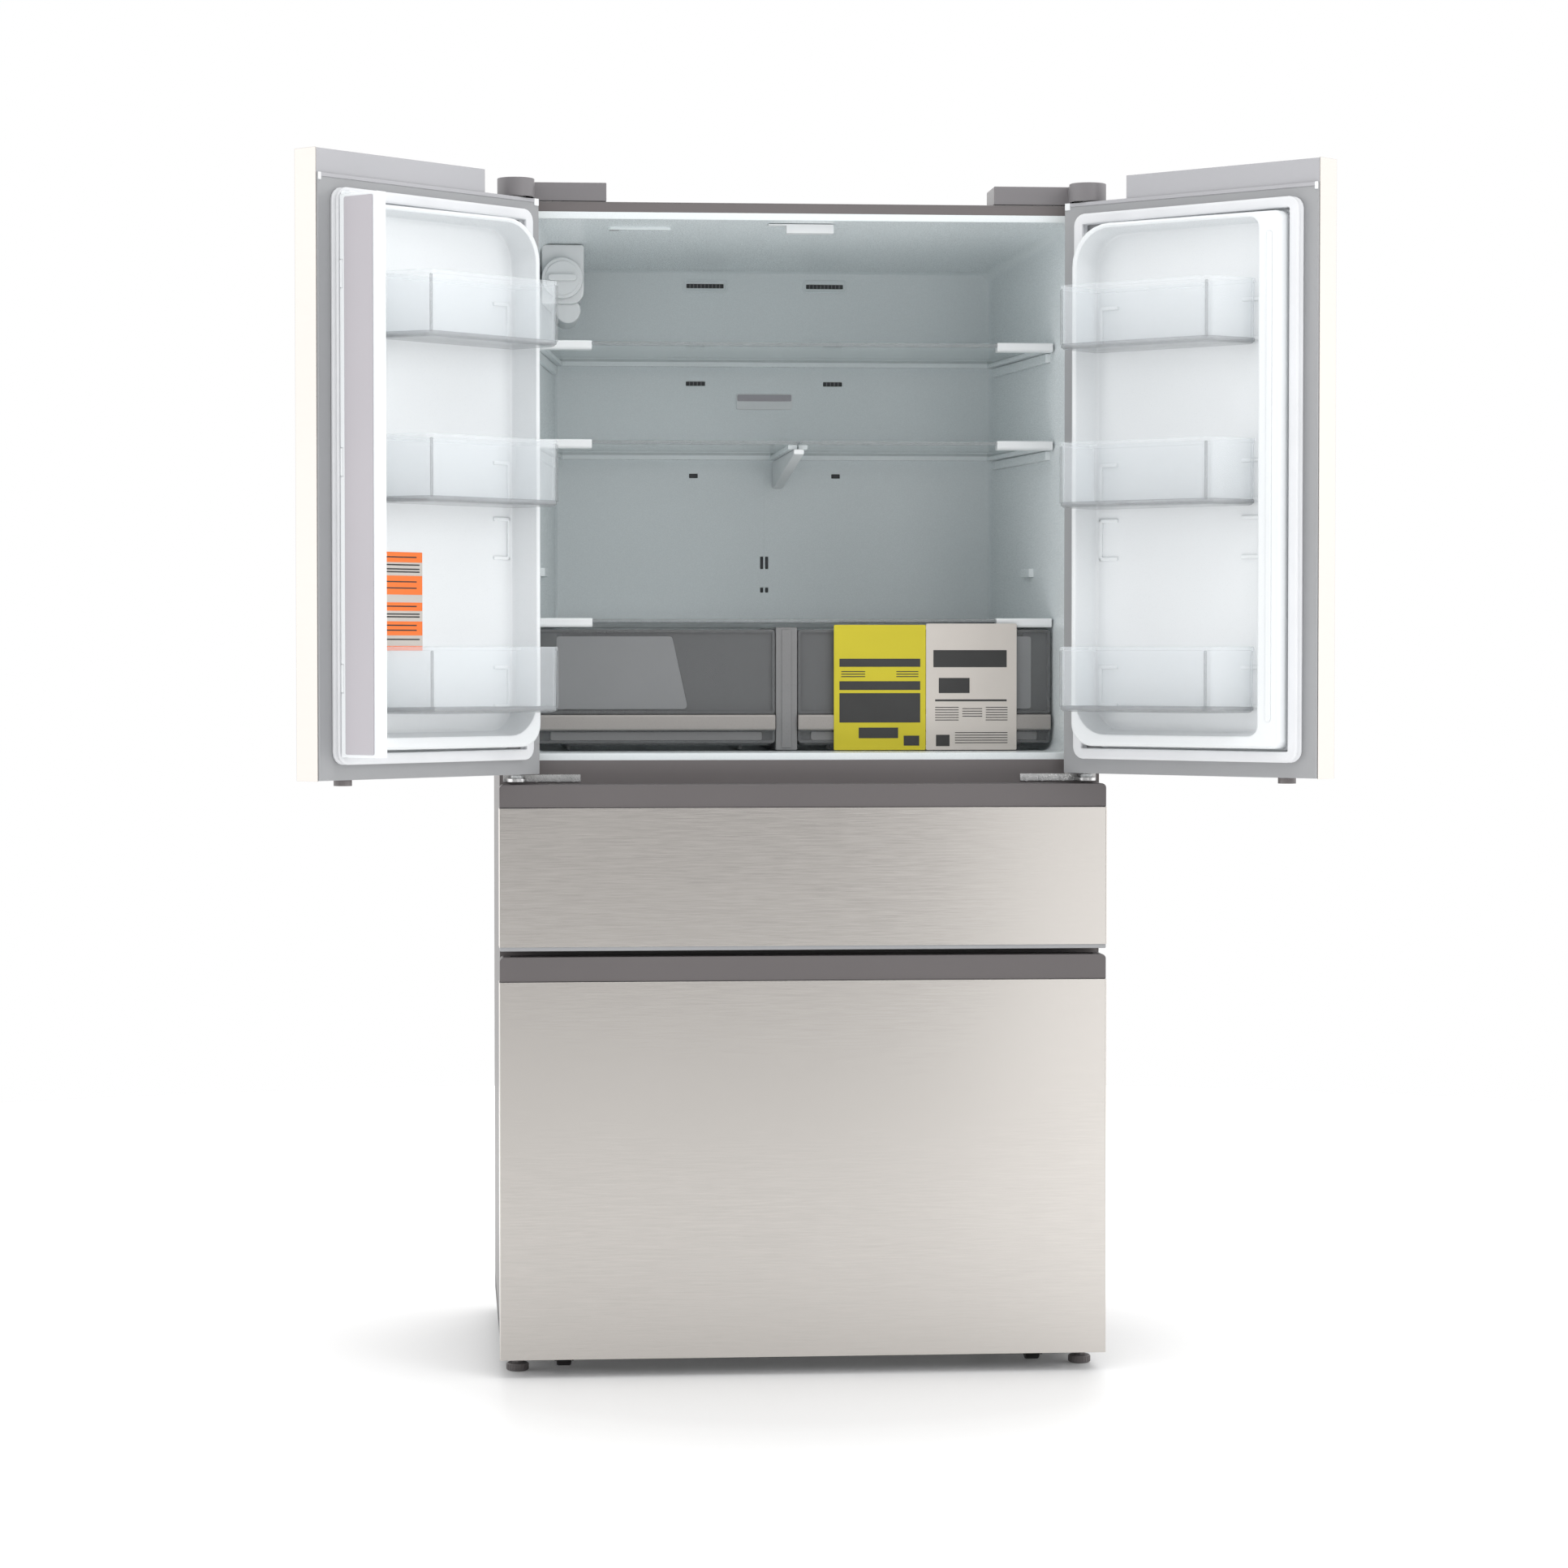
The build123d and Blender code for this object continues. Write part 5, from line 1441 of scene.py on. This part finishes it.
class FRIDGE_OT_door_liners(bpy.types.Operator):
    """Moulded door liners with a raised rim, bin hangers and the hinge blocks of the flap"""

    bl_idname = "fridge.door_liners"
    bl_label = "Door liners"

    HINGE_RIM, FREE_RIM = 0.010, 0.036   # width of the rim at the hinge side and the free side
    SPARE_HANGER = 1.210                 # height of the hangers that hold no bin
    LIP = 0.0055                         # width of a hanger's strokes

    def execute(self, context):
        low, high = reach("right_door_liner", RIGHT)
        plate = low.y + 0.004
        inner_x, outer_x = low.x + self.HINGE_RIM, high.x - self.FREE_RIM
        outer = rectangle((low.x, low.z), (high.x, high.z), (0.034, 0.012, 0.012, 0.062), 8)
        corners = (inner_x, low.z + 0.018), (outer_x, high.z - 0.008)
        inner = rectangle(*corners, (0.050, 0.016, 0.016, 0.056), 8)
        steps = (                        # outline, how far in from it, and height above the door
            (outer, -0.0038, low.y),
            (outer, -0.0038, low.y + 0.0014),
            (outer, 0, low.y + 0.0024),
            (outer, 0, high.y - 0.006),
            (outer, 0.0014, high.y - 0.0018),
            (outer, 0.0040, high.y),
            (inner, -0.0035, high.y),
            (inner, -0.0010, high.y - 0.0012),
            (inner, 0, high.y - 0.005),
            (inner, 0.0035, plate + 0.007),
            (inner, 0.0055, plate + 0.0022),
            (inner, 0.0105, plate),
        )
        loops = [placed("y", shrunk(outline, inset), depth) for outline, inset, depth in steps]
        for loop in loops[3:9]:
            for point in loop:
                point.y += self.lift(point.x, low, high)
        for side, space in DOORS.items():
            shape = bmesh.new()
            loft(shape, loops)
            self.groove(shape, low, high)
            self.hangers(shape, plate, inner_x, outer_x)
            if side == "left":
                self.flap_hinges(shape, high)
            name, stands_for = f"{side}_door_moulding", [f"{side}_door_liner"]
            make_piece(name, shape, ["liner"], f"{side}_door", stands_for=stands_for, space=space)
        return {"FINISHED"}

    def lift(self, x, low, high):
        """The rim stands a little higher beside the hinge than at the free side."""
        return 0.013 - 0.019 * (x - low.x) / (high.x - low.x)

    def groove(self, shape, low, high):
        """A raised bead down the wide free side of the rim."""
        x = high.x - 0.017
        top = high.y + self.lift(x, low, high)
        outline = rectangle((x - 0.005, 0.975), (x + 0.005, 1.675), 0.0049)
        prism(shape, outline, "y", top - 0.001, top + 0.0016, 0.0016)

    def hangers(self, shape, plate, inner, outer):
        """Bracket-shaped hangers for the bins, and one spare pair."""
        tall, arm = 0.062, 0.034
        levels = [low.z + 0.006 for low, _ in solids("right_door_bins", RIGHT)]
        for base in levels + [self.SPARE_HANGER]:
            for start, way in ((inner + 0.010, 1), (outer - 0.012, -1)):
                top = base + tall
                for reach_by, z0, z1 in (
                    (self.LIP, base, top),
                    (arm, top - self.LIP, top),
                    (arm, base, base + self.LIP),
                ):
                    x0, x1 = sorted((start, start + way * reach_by))
                    block(shape, (x0, plate - 0.001, z0), (x1, plate + 0.0035, z1), 0.0014)

    def flap_hinges(self, shape, high):
        """Small hinge blocks that hold the flap's pins."""
        pivot = LEFT.inverted() @ Vector(JOINTS["mullion_fold"]["pos_m"])
        x, y = pivot.x, pivot.y
        low_flap, high_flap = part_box("mullion_body")
        for start in (low_flap.z + 0.090, floor_level() + 0.395, high_flap.z - 0.1345):
            z0, z1 = start + 0.0005, start + 0.0395
            block(shape, (high.x - 0.003, y - 0.003, z0), (x, y + 0.003, z1), 0.0008)
            bar(shape, (x, y, z0), (x, y, z1), 0.0031, 0.0006, sides=24)


class FRIDGE_OT_door_bins(bpy.types.Operator):
    """Clear door bins with a rolled lip and a tinted floor"""

    bl_idname = "fridge.door_bins"
    bl_label = "Door bins"

    def execute(self, context):
        s = sizes()
        for side, space in DOORS.items():
            node = f"{side}_door_bins"
            for level, (low, high) in enumerate(solids(node, space)):
                points = (
                    (low.x, low.y),
                    (high.x, low.y),
                    (high.x - s.bin_slant, high.y),
                    (low.x, high.y),
                )
                outline = rounded(points, (0.011, 0.011, 0.016, 0.016), 6)
                shape = bmesh.new()
                tub(shape, outline, low.z, high.z, s.bin_wall, base=1)
                self.band(shape, outline, low.z)
                self.corners(shape, points, low.z, high.z)
                name, stands_for = f"{side}_door_bin_{level + 1}", [] if level else [node]
                ride = f"{side}_door", "clear_plastic", stands_for, space
                make_piece(name, shape, ["clear", "clear_edge"], *ride)
        return {"FINISHED"}

    def corners(self, shape, points, bottom, top):
        """Thick upright edges at the front corners of the bin."""
        for x, y in points[2:]:
            x += 0.0062 if x < 0.1 else -0.0062
            y -= 0.0048
            bar(shape, (x, y, bottom + 0.007), (x, y, top - 0.006), 0.0022, 0.0008, 1, 12)

    def band(self, shape, outline, z):
        """A thicker band round the foot of the bin."""
        steps = (
            (0.0018, z + 0.0030),
            (0.0008, z + 0.0038),
            (0.0008, z + 0.0078),
            (0.0018, z + 0.0088),
            (0.0030, z + 0.0080),
            (0.0030, z + 0.0036),
        )
        loft(shape, layers("z", outline, steps), finish=1, ring=True)


class FRIDGE_OT_flap(bpy.types.Operator):
    """The flap that closes the gap between the doors: white body, grey plate and guide nub"""

    bl_idname = "fridge.flap"
    bl_label = "Flap"

    def execute(self, context):
        shape = softened("mullion_body", 0.0008)
        shape.transform(LEFT.inverted())
        low, high = reach("mullion_body", LEFT)
        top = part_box("mullion_body")[1].z
        one = (low.x + 0.002, low.y + 0.001, top - 0.0055)
        block(shape, one, (high.x - 0.003, low.y + 0.020, top), 0.002)
        make_piece("flap_body", shape, ["liner"], "mullion", "white_liner", ["mullion_body"], LEFT)
        low, high = reach("mullion_plate", LEFT)
        face = bmesh.new()
        outline = rectangle((low.y, low.z), (high.y, high.z), 0.0025)
        prism(face, outline, "x", low.x - 0.0005, high.x, 0.0006)
        ride = "mullion", "mullion_metal", ["mullion_plate"]
        make_piece("flap_plate", face, ["flap"], *ride, LEFT)
        return {"FINISHED"}


class FRIDGE_OT_hinges(bpy.types.Operator):
    """Hinge covers, hinge plates and their screws"""

    bl_idname = "fridge.hinges"
    bl_label = "Hinges"

    def execute(self, context):
        soften_piece("hinge_covers", "hinge_covers_moulding", "hinge", 0.0024)
        soften_piece("top_hinges", "top_hinge_plates", "zinc", 0.0008)
        soften_piece("middle_hinges", "middle_hinge_plates", "zinc", 0.0008)
        x, y, _ = JOINTS["left_door_swing"]["pos_m"]
        pin = abs(x)
        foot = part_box("left_door_skin")[0].z
        depth = FRONT + 0.0605 - 0.0004
        level = (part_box("mid_strip")[1].z + foot) / 2 + 0.0002
        insets = (0.085, 0.062, 0.030)
        places = [(side * (pin - inset), depth, level) for side in (-1, 1) for inset in insets]
        screws("middle_hinge_screws", places, (0, -1, 0))
        bush = bmesh.new()
        for x in (-pin, pin):
            bar(bush, (x, y, foot - 0.0058), (x, y, foot - 0.0006), 0.0088, 0.0012)
        make_piece("middle_hinge_bushes", bush, ["bracket"], slot="zinc_slides")
        places = []
        for low, high in solids("hinge_covers"):
            side = 1 if low.x > 0 else -1
            places.append((side * (pin - 0.062), (low.y + high.y) / 2 + 0.045, high.z - 0.0002))
        screws("hinge_cover_screws", places, (0, 0, 1), "black")
        return {"FINISHED"}


class FRIDGE_OT_drawers(bpy.types.Operator):
    """Steel drawer fronts, grip strips and insulated backs"""

    bl_idname = "fridge.drawers"
    bl_label = "Drawer fronts"

    def execute(self, context):
        for name in ("mid", "lower"):
            soften_piece(f"{name}_front", f"{name}_drawer_steel", "steel", sizes().steel_edge * 0.7)
            soften_piece(f"{name}_core", f"{name}_drawer_back", "pan", 0.0014)
            soften_piece(f"{name}_strip", f"{name}_drawer_grip", "strip", 0.0012)
        return {"FINISHED"}


class FRIDGE_OT_drawer_bins(bpy.types.Operator):
    """Bins and tray of the drawers, with ribs, and their slides"""

    bl_idname = "fridge.drawer_bins"
    bl_label = "Drawer bins"

    RIBS = 9                             # inside each side of a bin
    WALL, LIP = 0.003, 0.002
    RUNNER = 0.0145                      # how far the tray's runners stand out

    def execute(self, context):
        for node, finish_name in (("mid_bin", "clear"), ("lower_bin", "bracket")):
            low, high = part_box(node)
            ride = body_of(node), SLOT_OF[node]
            shape = bmesh.new()
            outline = rectangle((low.x, low.y), (high.x, high.y), 0.018)
            tub(shape, outline, low.z, high.z, self.WALL, base=1, lip=self.LIP)
            make_piece(f"{node}_tub", shape, [finish_name, finish_name], *ride, [node])
            step = (0, (high.y - low.y - 0.08) / (self.RIBS - 1), 0)
            size = (0.0014, 0.003, (high.z - low.z) * 0.72)
            for side, x in (("left", low.x + 0.0062), ("right", high.x - 0.0062)):
                start = (x, low.y + 0.04, (low.z + high.z) / 2)
                row(f"{node}_ribs_{side}", self.RIBS, start, step, size, finish_name, *ride)
        self.tray()
        for node in ("mid_slides", "lower_slides", "drawer_rails"):
            soften_piece(node, f"{node}_pressing", "zinc", 0.0006)
        return {"FINISHED"}

    def tray(self):
        """The sliding tray, with a runner down each side."""
        low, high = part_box("freezer_tray")
        shape = bmesh.new()
        outline = rectangle((low.x + self.RUNNER, low.y), (high.x - self.RUNNER, high.y), 0.016)
        tub(shape, outline, low.z + 0.011, high.z, self.WALL, base=1, lip=self.LIP)
        front, back, z = low.y + 0.034, high.y - 0.030, low.z + 0.013
        for side in (-1, 1):
            for inner, z0, z1, edge in (
                (high.x - self.RUNNER - 0.0020, z, z + 0.006, 0.001),
                (high.x - 0.003, low.z, z + 0.004, 0.0008),
            ):
                x0, x1 = sorted((side * inner, side * high.x))
                block(shape, (x0, front, z0), (x1, back, z1), edge)
        ride = "freezer_tray", SLOT_OF["freezer_tray"], ["freezer_tray"]
        make_piece("freezer_tray_tub", shape, ["bracket", "bracket"], *ride)


class FRIDGE_OT_feet(bpy.types.Operator):
    """Levelling feet and rollers with ribbed rims"""

    bl_idname = "fridge.feet"
    bl_label = "Feet and rollers"

    def execute(self, context):
        for node in ("levelling_foot_left", "levelling_foot_right"):
            self.foot(node)
        for node in ("front_rollers", "rear_rollers"):
            self.rollers(node)
        return {"FINISHED"}

    def foot(self, node):
        """A ribbed pad, a six-sided collar and a stem."""
        low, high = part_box(node)
        x, y, _ = (low + high) / 2
        radius = (high.x - low.x) / 2
        collar = low.z + 0.012
        shape = bmesh.new()
        bar(shape, (x, y, low.z), (x, y, collar), radius * 0.95, 0.002, sides=40)
        bar(shape, (x, y, collar - 0.001), (x, y, collar + 0.006), radius * 0.55, 0.0008, sides=6)
        bar(shape, (x, y, collar), (x, y, high.z), 0.0047, 0.0006, sides=24)
        make_piece(f"{node}_pad", shape, ["trim"], node, "black_plastic", [node])
        size = (radius * 0.07, radius * 0.13, 0.008)
        space = Matrix.Translation((x, y, low.z + 0.006))
        ribs(f"{node}_knurl", radius * 0.955, size, "trim", node, space)

    def rollers(self, node):
        """A pair of wheels with raised hubs and ribbed treads."""
        shape = bmesh.new()
        wheels = solids(node)
        for low, high in wheels:
            _, y, z = (low + high) / 2
            radius = (high.z - low.z) / 2
            bar(shape, (low.x, y, z), (high.x, y, z), radius * 0.97, 0.0018, sides=40)
            for x, way in ((low.x, -1), (high.x, 1)):
                start, end = (x - way * 0.001, y, z), (x + way * 0.0002, y, z)
                bar(shape, start, end, radius * 0.55, 0.0004)
        make_piece(f"{node}_wheels", shape, ["black"], node, "black_plastic", [node])
        for number, (low, high) in enumerate(wheels, 1):
            radius = (high.z - low.z) / 2
            size = (radius * 0.07, radius * 0.12, (high.x - low.x) * 0.8)
            quarter = Matrix.Rotation(math.radians(90), 4, "Y")
            space = Matrix.Translation((low + high) / 2) @ quarter
            ribs(f"{node}_tread_{number}", radius * 0.96, size, "black", node, space)


class FRIDGE_OT_machinery(bpy.types.Operator):
    """Fins of the condenser, behind the rear cover"""

    bl_idname = "fridge.machinery"
    bl_label = "Machinery"

    def execute(self, context):
        low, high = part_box("condenser")
        tray, coil, ends = 0.012, 0.020, 0.006
        number = sizes().fins
        start = (coil + ends, (low.y + high.y) / 2, (low.z + tray + high.z) / 2)
        step = ((high.x - coil - 2 * ends) / (number - 1), 0, 0)
        size = (0.0006, (high.y - low.y) * 0.86, high.z - low.z - tray)
        row("condenser_fins", number, start, step, size, "fins", slot="aluminium_fins")
        return {"FINISHED"}


class FRIDGE_OT_cards(bpy.types.Operator):
    """Plain cards on a crisper and a plain sticker on the left door, without lettering"""

    bl_idname = "fridge.cards"
    bl_label = "Cards"

    # shares of a card's width and height: a heading, a framed block and rules
    YELLOW_MARKS = (
        (0.06, 0.94, 0.27, 0.335),
        (0.06, 0.94, 0.45, 0.52),
        (0.06, 0.94, 0.545, 0.78),
        (0.27, 0.70, 0.82, 0.905),
        (0.76, 0.93, 0.885, 0.965),
    )
    PALE_MARKS = (
        (0.08, 0.89, 0.21, 0.345),
        (0.14, 0.48, 0.43, 0.55),
        (0.10, 0.89, 0.60, 0.615),
        (0.11, 0.26, 0.88, 0.97),
    )
    # columns of rules: from and to across, the first one's height, how many, and their thickness
    YELLOW_RULES = ((0.08, 0.34, 0.37, 3, 0.007), (0.68, 0.92, 0.37, 3, 0.007))
    PALE_RULES = (
        (0.10, 0.36, 0.66, 6, 0.006),
        (0.40, 0.62, 0.67, 4, 0.006),
        (0.66, 0.90, 0.66, 6, 0.006),
        (0.32, 0.90, 0.86, 5, 0.006),
    )
    STICKER = (0.2225, 1.077), (0.3255, 1.2175)
    ORANGE = ((1.203, 1.2175), (1.157, 1.184), (1.134, 1.146), (1.099, 1.119), (1.077, 1.084))
    LONG_RULES = (1.1985, 1.1925, 1.1885, 1.1285, 1.1245, 1.0925)
    SHORT_RULES = (1.2095, 1.1745, 1.1655, 1.1395, 1.1125, 1.1055)

    def execute(self, context):
        low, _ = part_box("crisper_right")
        face = low.y - 0.0008
        top, bottom = 1.117, low.z - 0.0005
        marks = self.YELLOW_MARKS + self.ruled(self.YELLOW_RULES)
        self.card("yellow_card", (0.0585, 0.1990), (bottom, top), face, "yellow", marks)
        marks = self.PALE_MARKS + self.ruled(self.PALE_RULES)
        face, top = face - 0.0004, top + 0.002
        self.card("pale_card", (0.1995, 0.3385), (bottom, top), face, "paper", marks)
        self.sticker()
        return {"FINISHED"}

    def ruled(self, columns):
        """Columns of rules, as marks."""
        return tuple(
            (u0, u1, round(first + 0.02 * i, 2), round(first + 0.02 * i, 2) + thick)
            for u0, u1, first, number, thick in columns
            for i in range(number)
        )

    def card(self, name, x, z, face, finish_name, marks):
        """A thin card with plain marks on it."""
        shape = bmesh.new()
        outline = rectangle((x[0], z[0]), (x[1], z[1]), 0.002, 3)
        prism(shape, outline, "y", face - 0.0006, face, 0.0002)
        wide, tall = x[1] - x[0], z[1] - z[0]
        for u0, u1, v0, v1 in marks:
            low = (x[0] + u0 * wide, face - 0.0009, z[1] - v1 * tall)
            high = (x[0] + u1 * wide, face - 0.0005, z[1] - v0 * tall)
            block(shape, low, high, 0.0001, 1, 1)
        make_piece(name, shape, [finish_name, "ink"], "crisper_right", "smoky_plastic")

    def sticker(self):
        """A pale sticker with orange bands and rules."""
        plate = reach("right_door_liner", RIGHT)[0].y + 0.004
        (a0, z0), (a1, z1) = self.STICKER
        shape = bmesh.new()
        outline = rectangle((a0, z0), (a1, z1), 0.002, 3)
        prism(shape, outline, "y", plate - 0.0002, plate + 0.0003, 0.0001)
        for v0, v1 in self.ORANGE:
            low, high = (a0 + 0.0004, plate, v0), (a1 - 0.0004, plate + 0.0006, v1)
            block(shape, low, high, 0.0001, 1, 1)
        rules = [(a0 + 0.006, a1 - 0.008, z) for z in self.LONG_RULES]
        rules += [(a0 + 0.012, a1 - 0.030, z) for z in self.SHORT_RULES]
        for u0, u1, z in rules:
            block(shape, (u0, plate, z), (u1, plate + 0.0008, z + 0.0018), 0.0001, 2, 1)
        make_piece("door_sticker", shape, ["paper", "orange", "ink"], "left_door", space=LEFT)


class FRIDGE_OT_frame_finishes(bpy.types.Operator):
    """Finishes for the frame's own pieces that still show"""

    bl_idname = "fridge.frame_finishes"
    bl_label = "Frame finishes"

    def execute(self, context):
        for name, piece in frame["nodes"].items():
            wanted = finish(SLOT_FINISH[SLOT_OF[name]])
            if not piece.material_slots:
                piece.data.materials.append(wanted)
            for slot in piece.material_slots:
                slot.material = wanted
        return {"FINISHED"}


STEPS = (
    FRIDGE_OT_stage,
    FRIDGE_OT_cabinet,
    FRIDGE_OT_fresh_food_liner,
    FRIDGE_OT_air_panel,
    FRIDGE_OT_ceiling,
    FRIDGE_OT_shelves,
    FRIDGE_OT_crispers,
    FRIDGE_OT_water_filter,
    FRIDGE_OT_doors,
    FRIDGE_OT_gaskets,
    FRIDGE_OT_door_liners,
    FRIDGE_OT_door_bins,
    FRIDGE_OT_flap,
    FRIDGE_OT_hinges,
    FRIDGE_OT_drawers,
    FRIDGE_OT_drawer_bins,
    FRIDGE_OT_feet,
    FRIDGE_OT_machinery,
    FRIDGE_OT_cards,
    FRIDGE_OT_frame_finishes,
)


class FRIDGE_PT_panel(bpy.types.Panel):
    """Sizes, finishes and steps of the refrigerator"""

    bl_idname = "FRIDGE_PT_panel"
    bl_label = "Refrigerator"
    bl_space_type = "VIEW_3D"
    bl_region_type = "UI"
    bl_category = "Refrigerator"

    def draw(self, context):
        scene = context.scene
        for step in STEPS:
            self.layout.operator(step.bl_idname)
        for group in (scene.fridge_sizes, scene.fridge_finishes, scene.fridge_stage):
            box = self.layout.box()
            for key in group.__annotations__:
                box.prop(group, key)


GROUPS = {
    "fridge_sizes": FridgeSizes,
    "fridge_finishes": FridgeFinishes,
    "fridge_stage": FridgeStage,
}
CLASSES = (*GROUPS.values(), *STEPS, FRIDGE_PT_panel)


def register():
    """Registers every class, and the sizes and finishes on the scene."""
    for item in CLASSES:
        bpy.utils.register_class(item)
    for name, group in GROUPS.items():
        setattr(bpy.types.Scene, name, PointerProperty(type=group))


def unregister():
    """Removes what register added."""
    for name in GROUPS:
        delattr(bpy.types.Scene, name)
    for item in reversed(CLASSES):
        bpy.utils.unregister_class(item)


def main():
    """Builds every piece in order."""
    register()
    for step in STEPS:
        family, name = step.bl_idname.split(".")
        getattr(getattr(bpy.ops, family), name)()


if __name__ == "__main__":
    main()
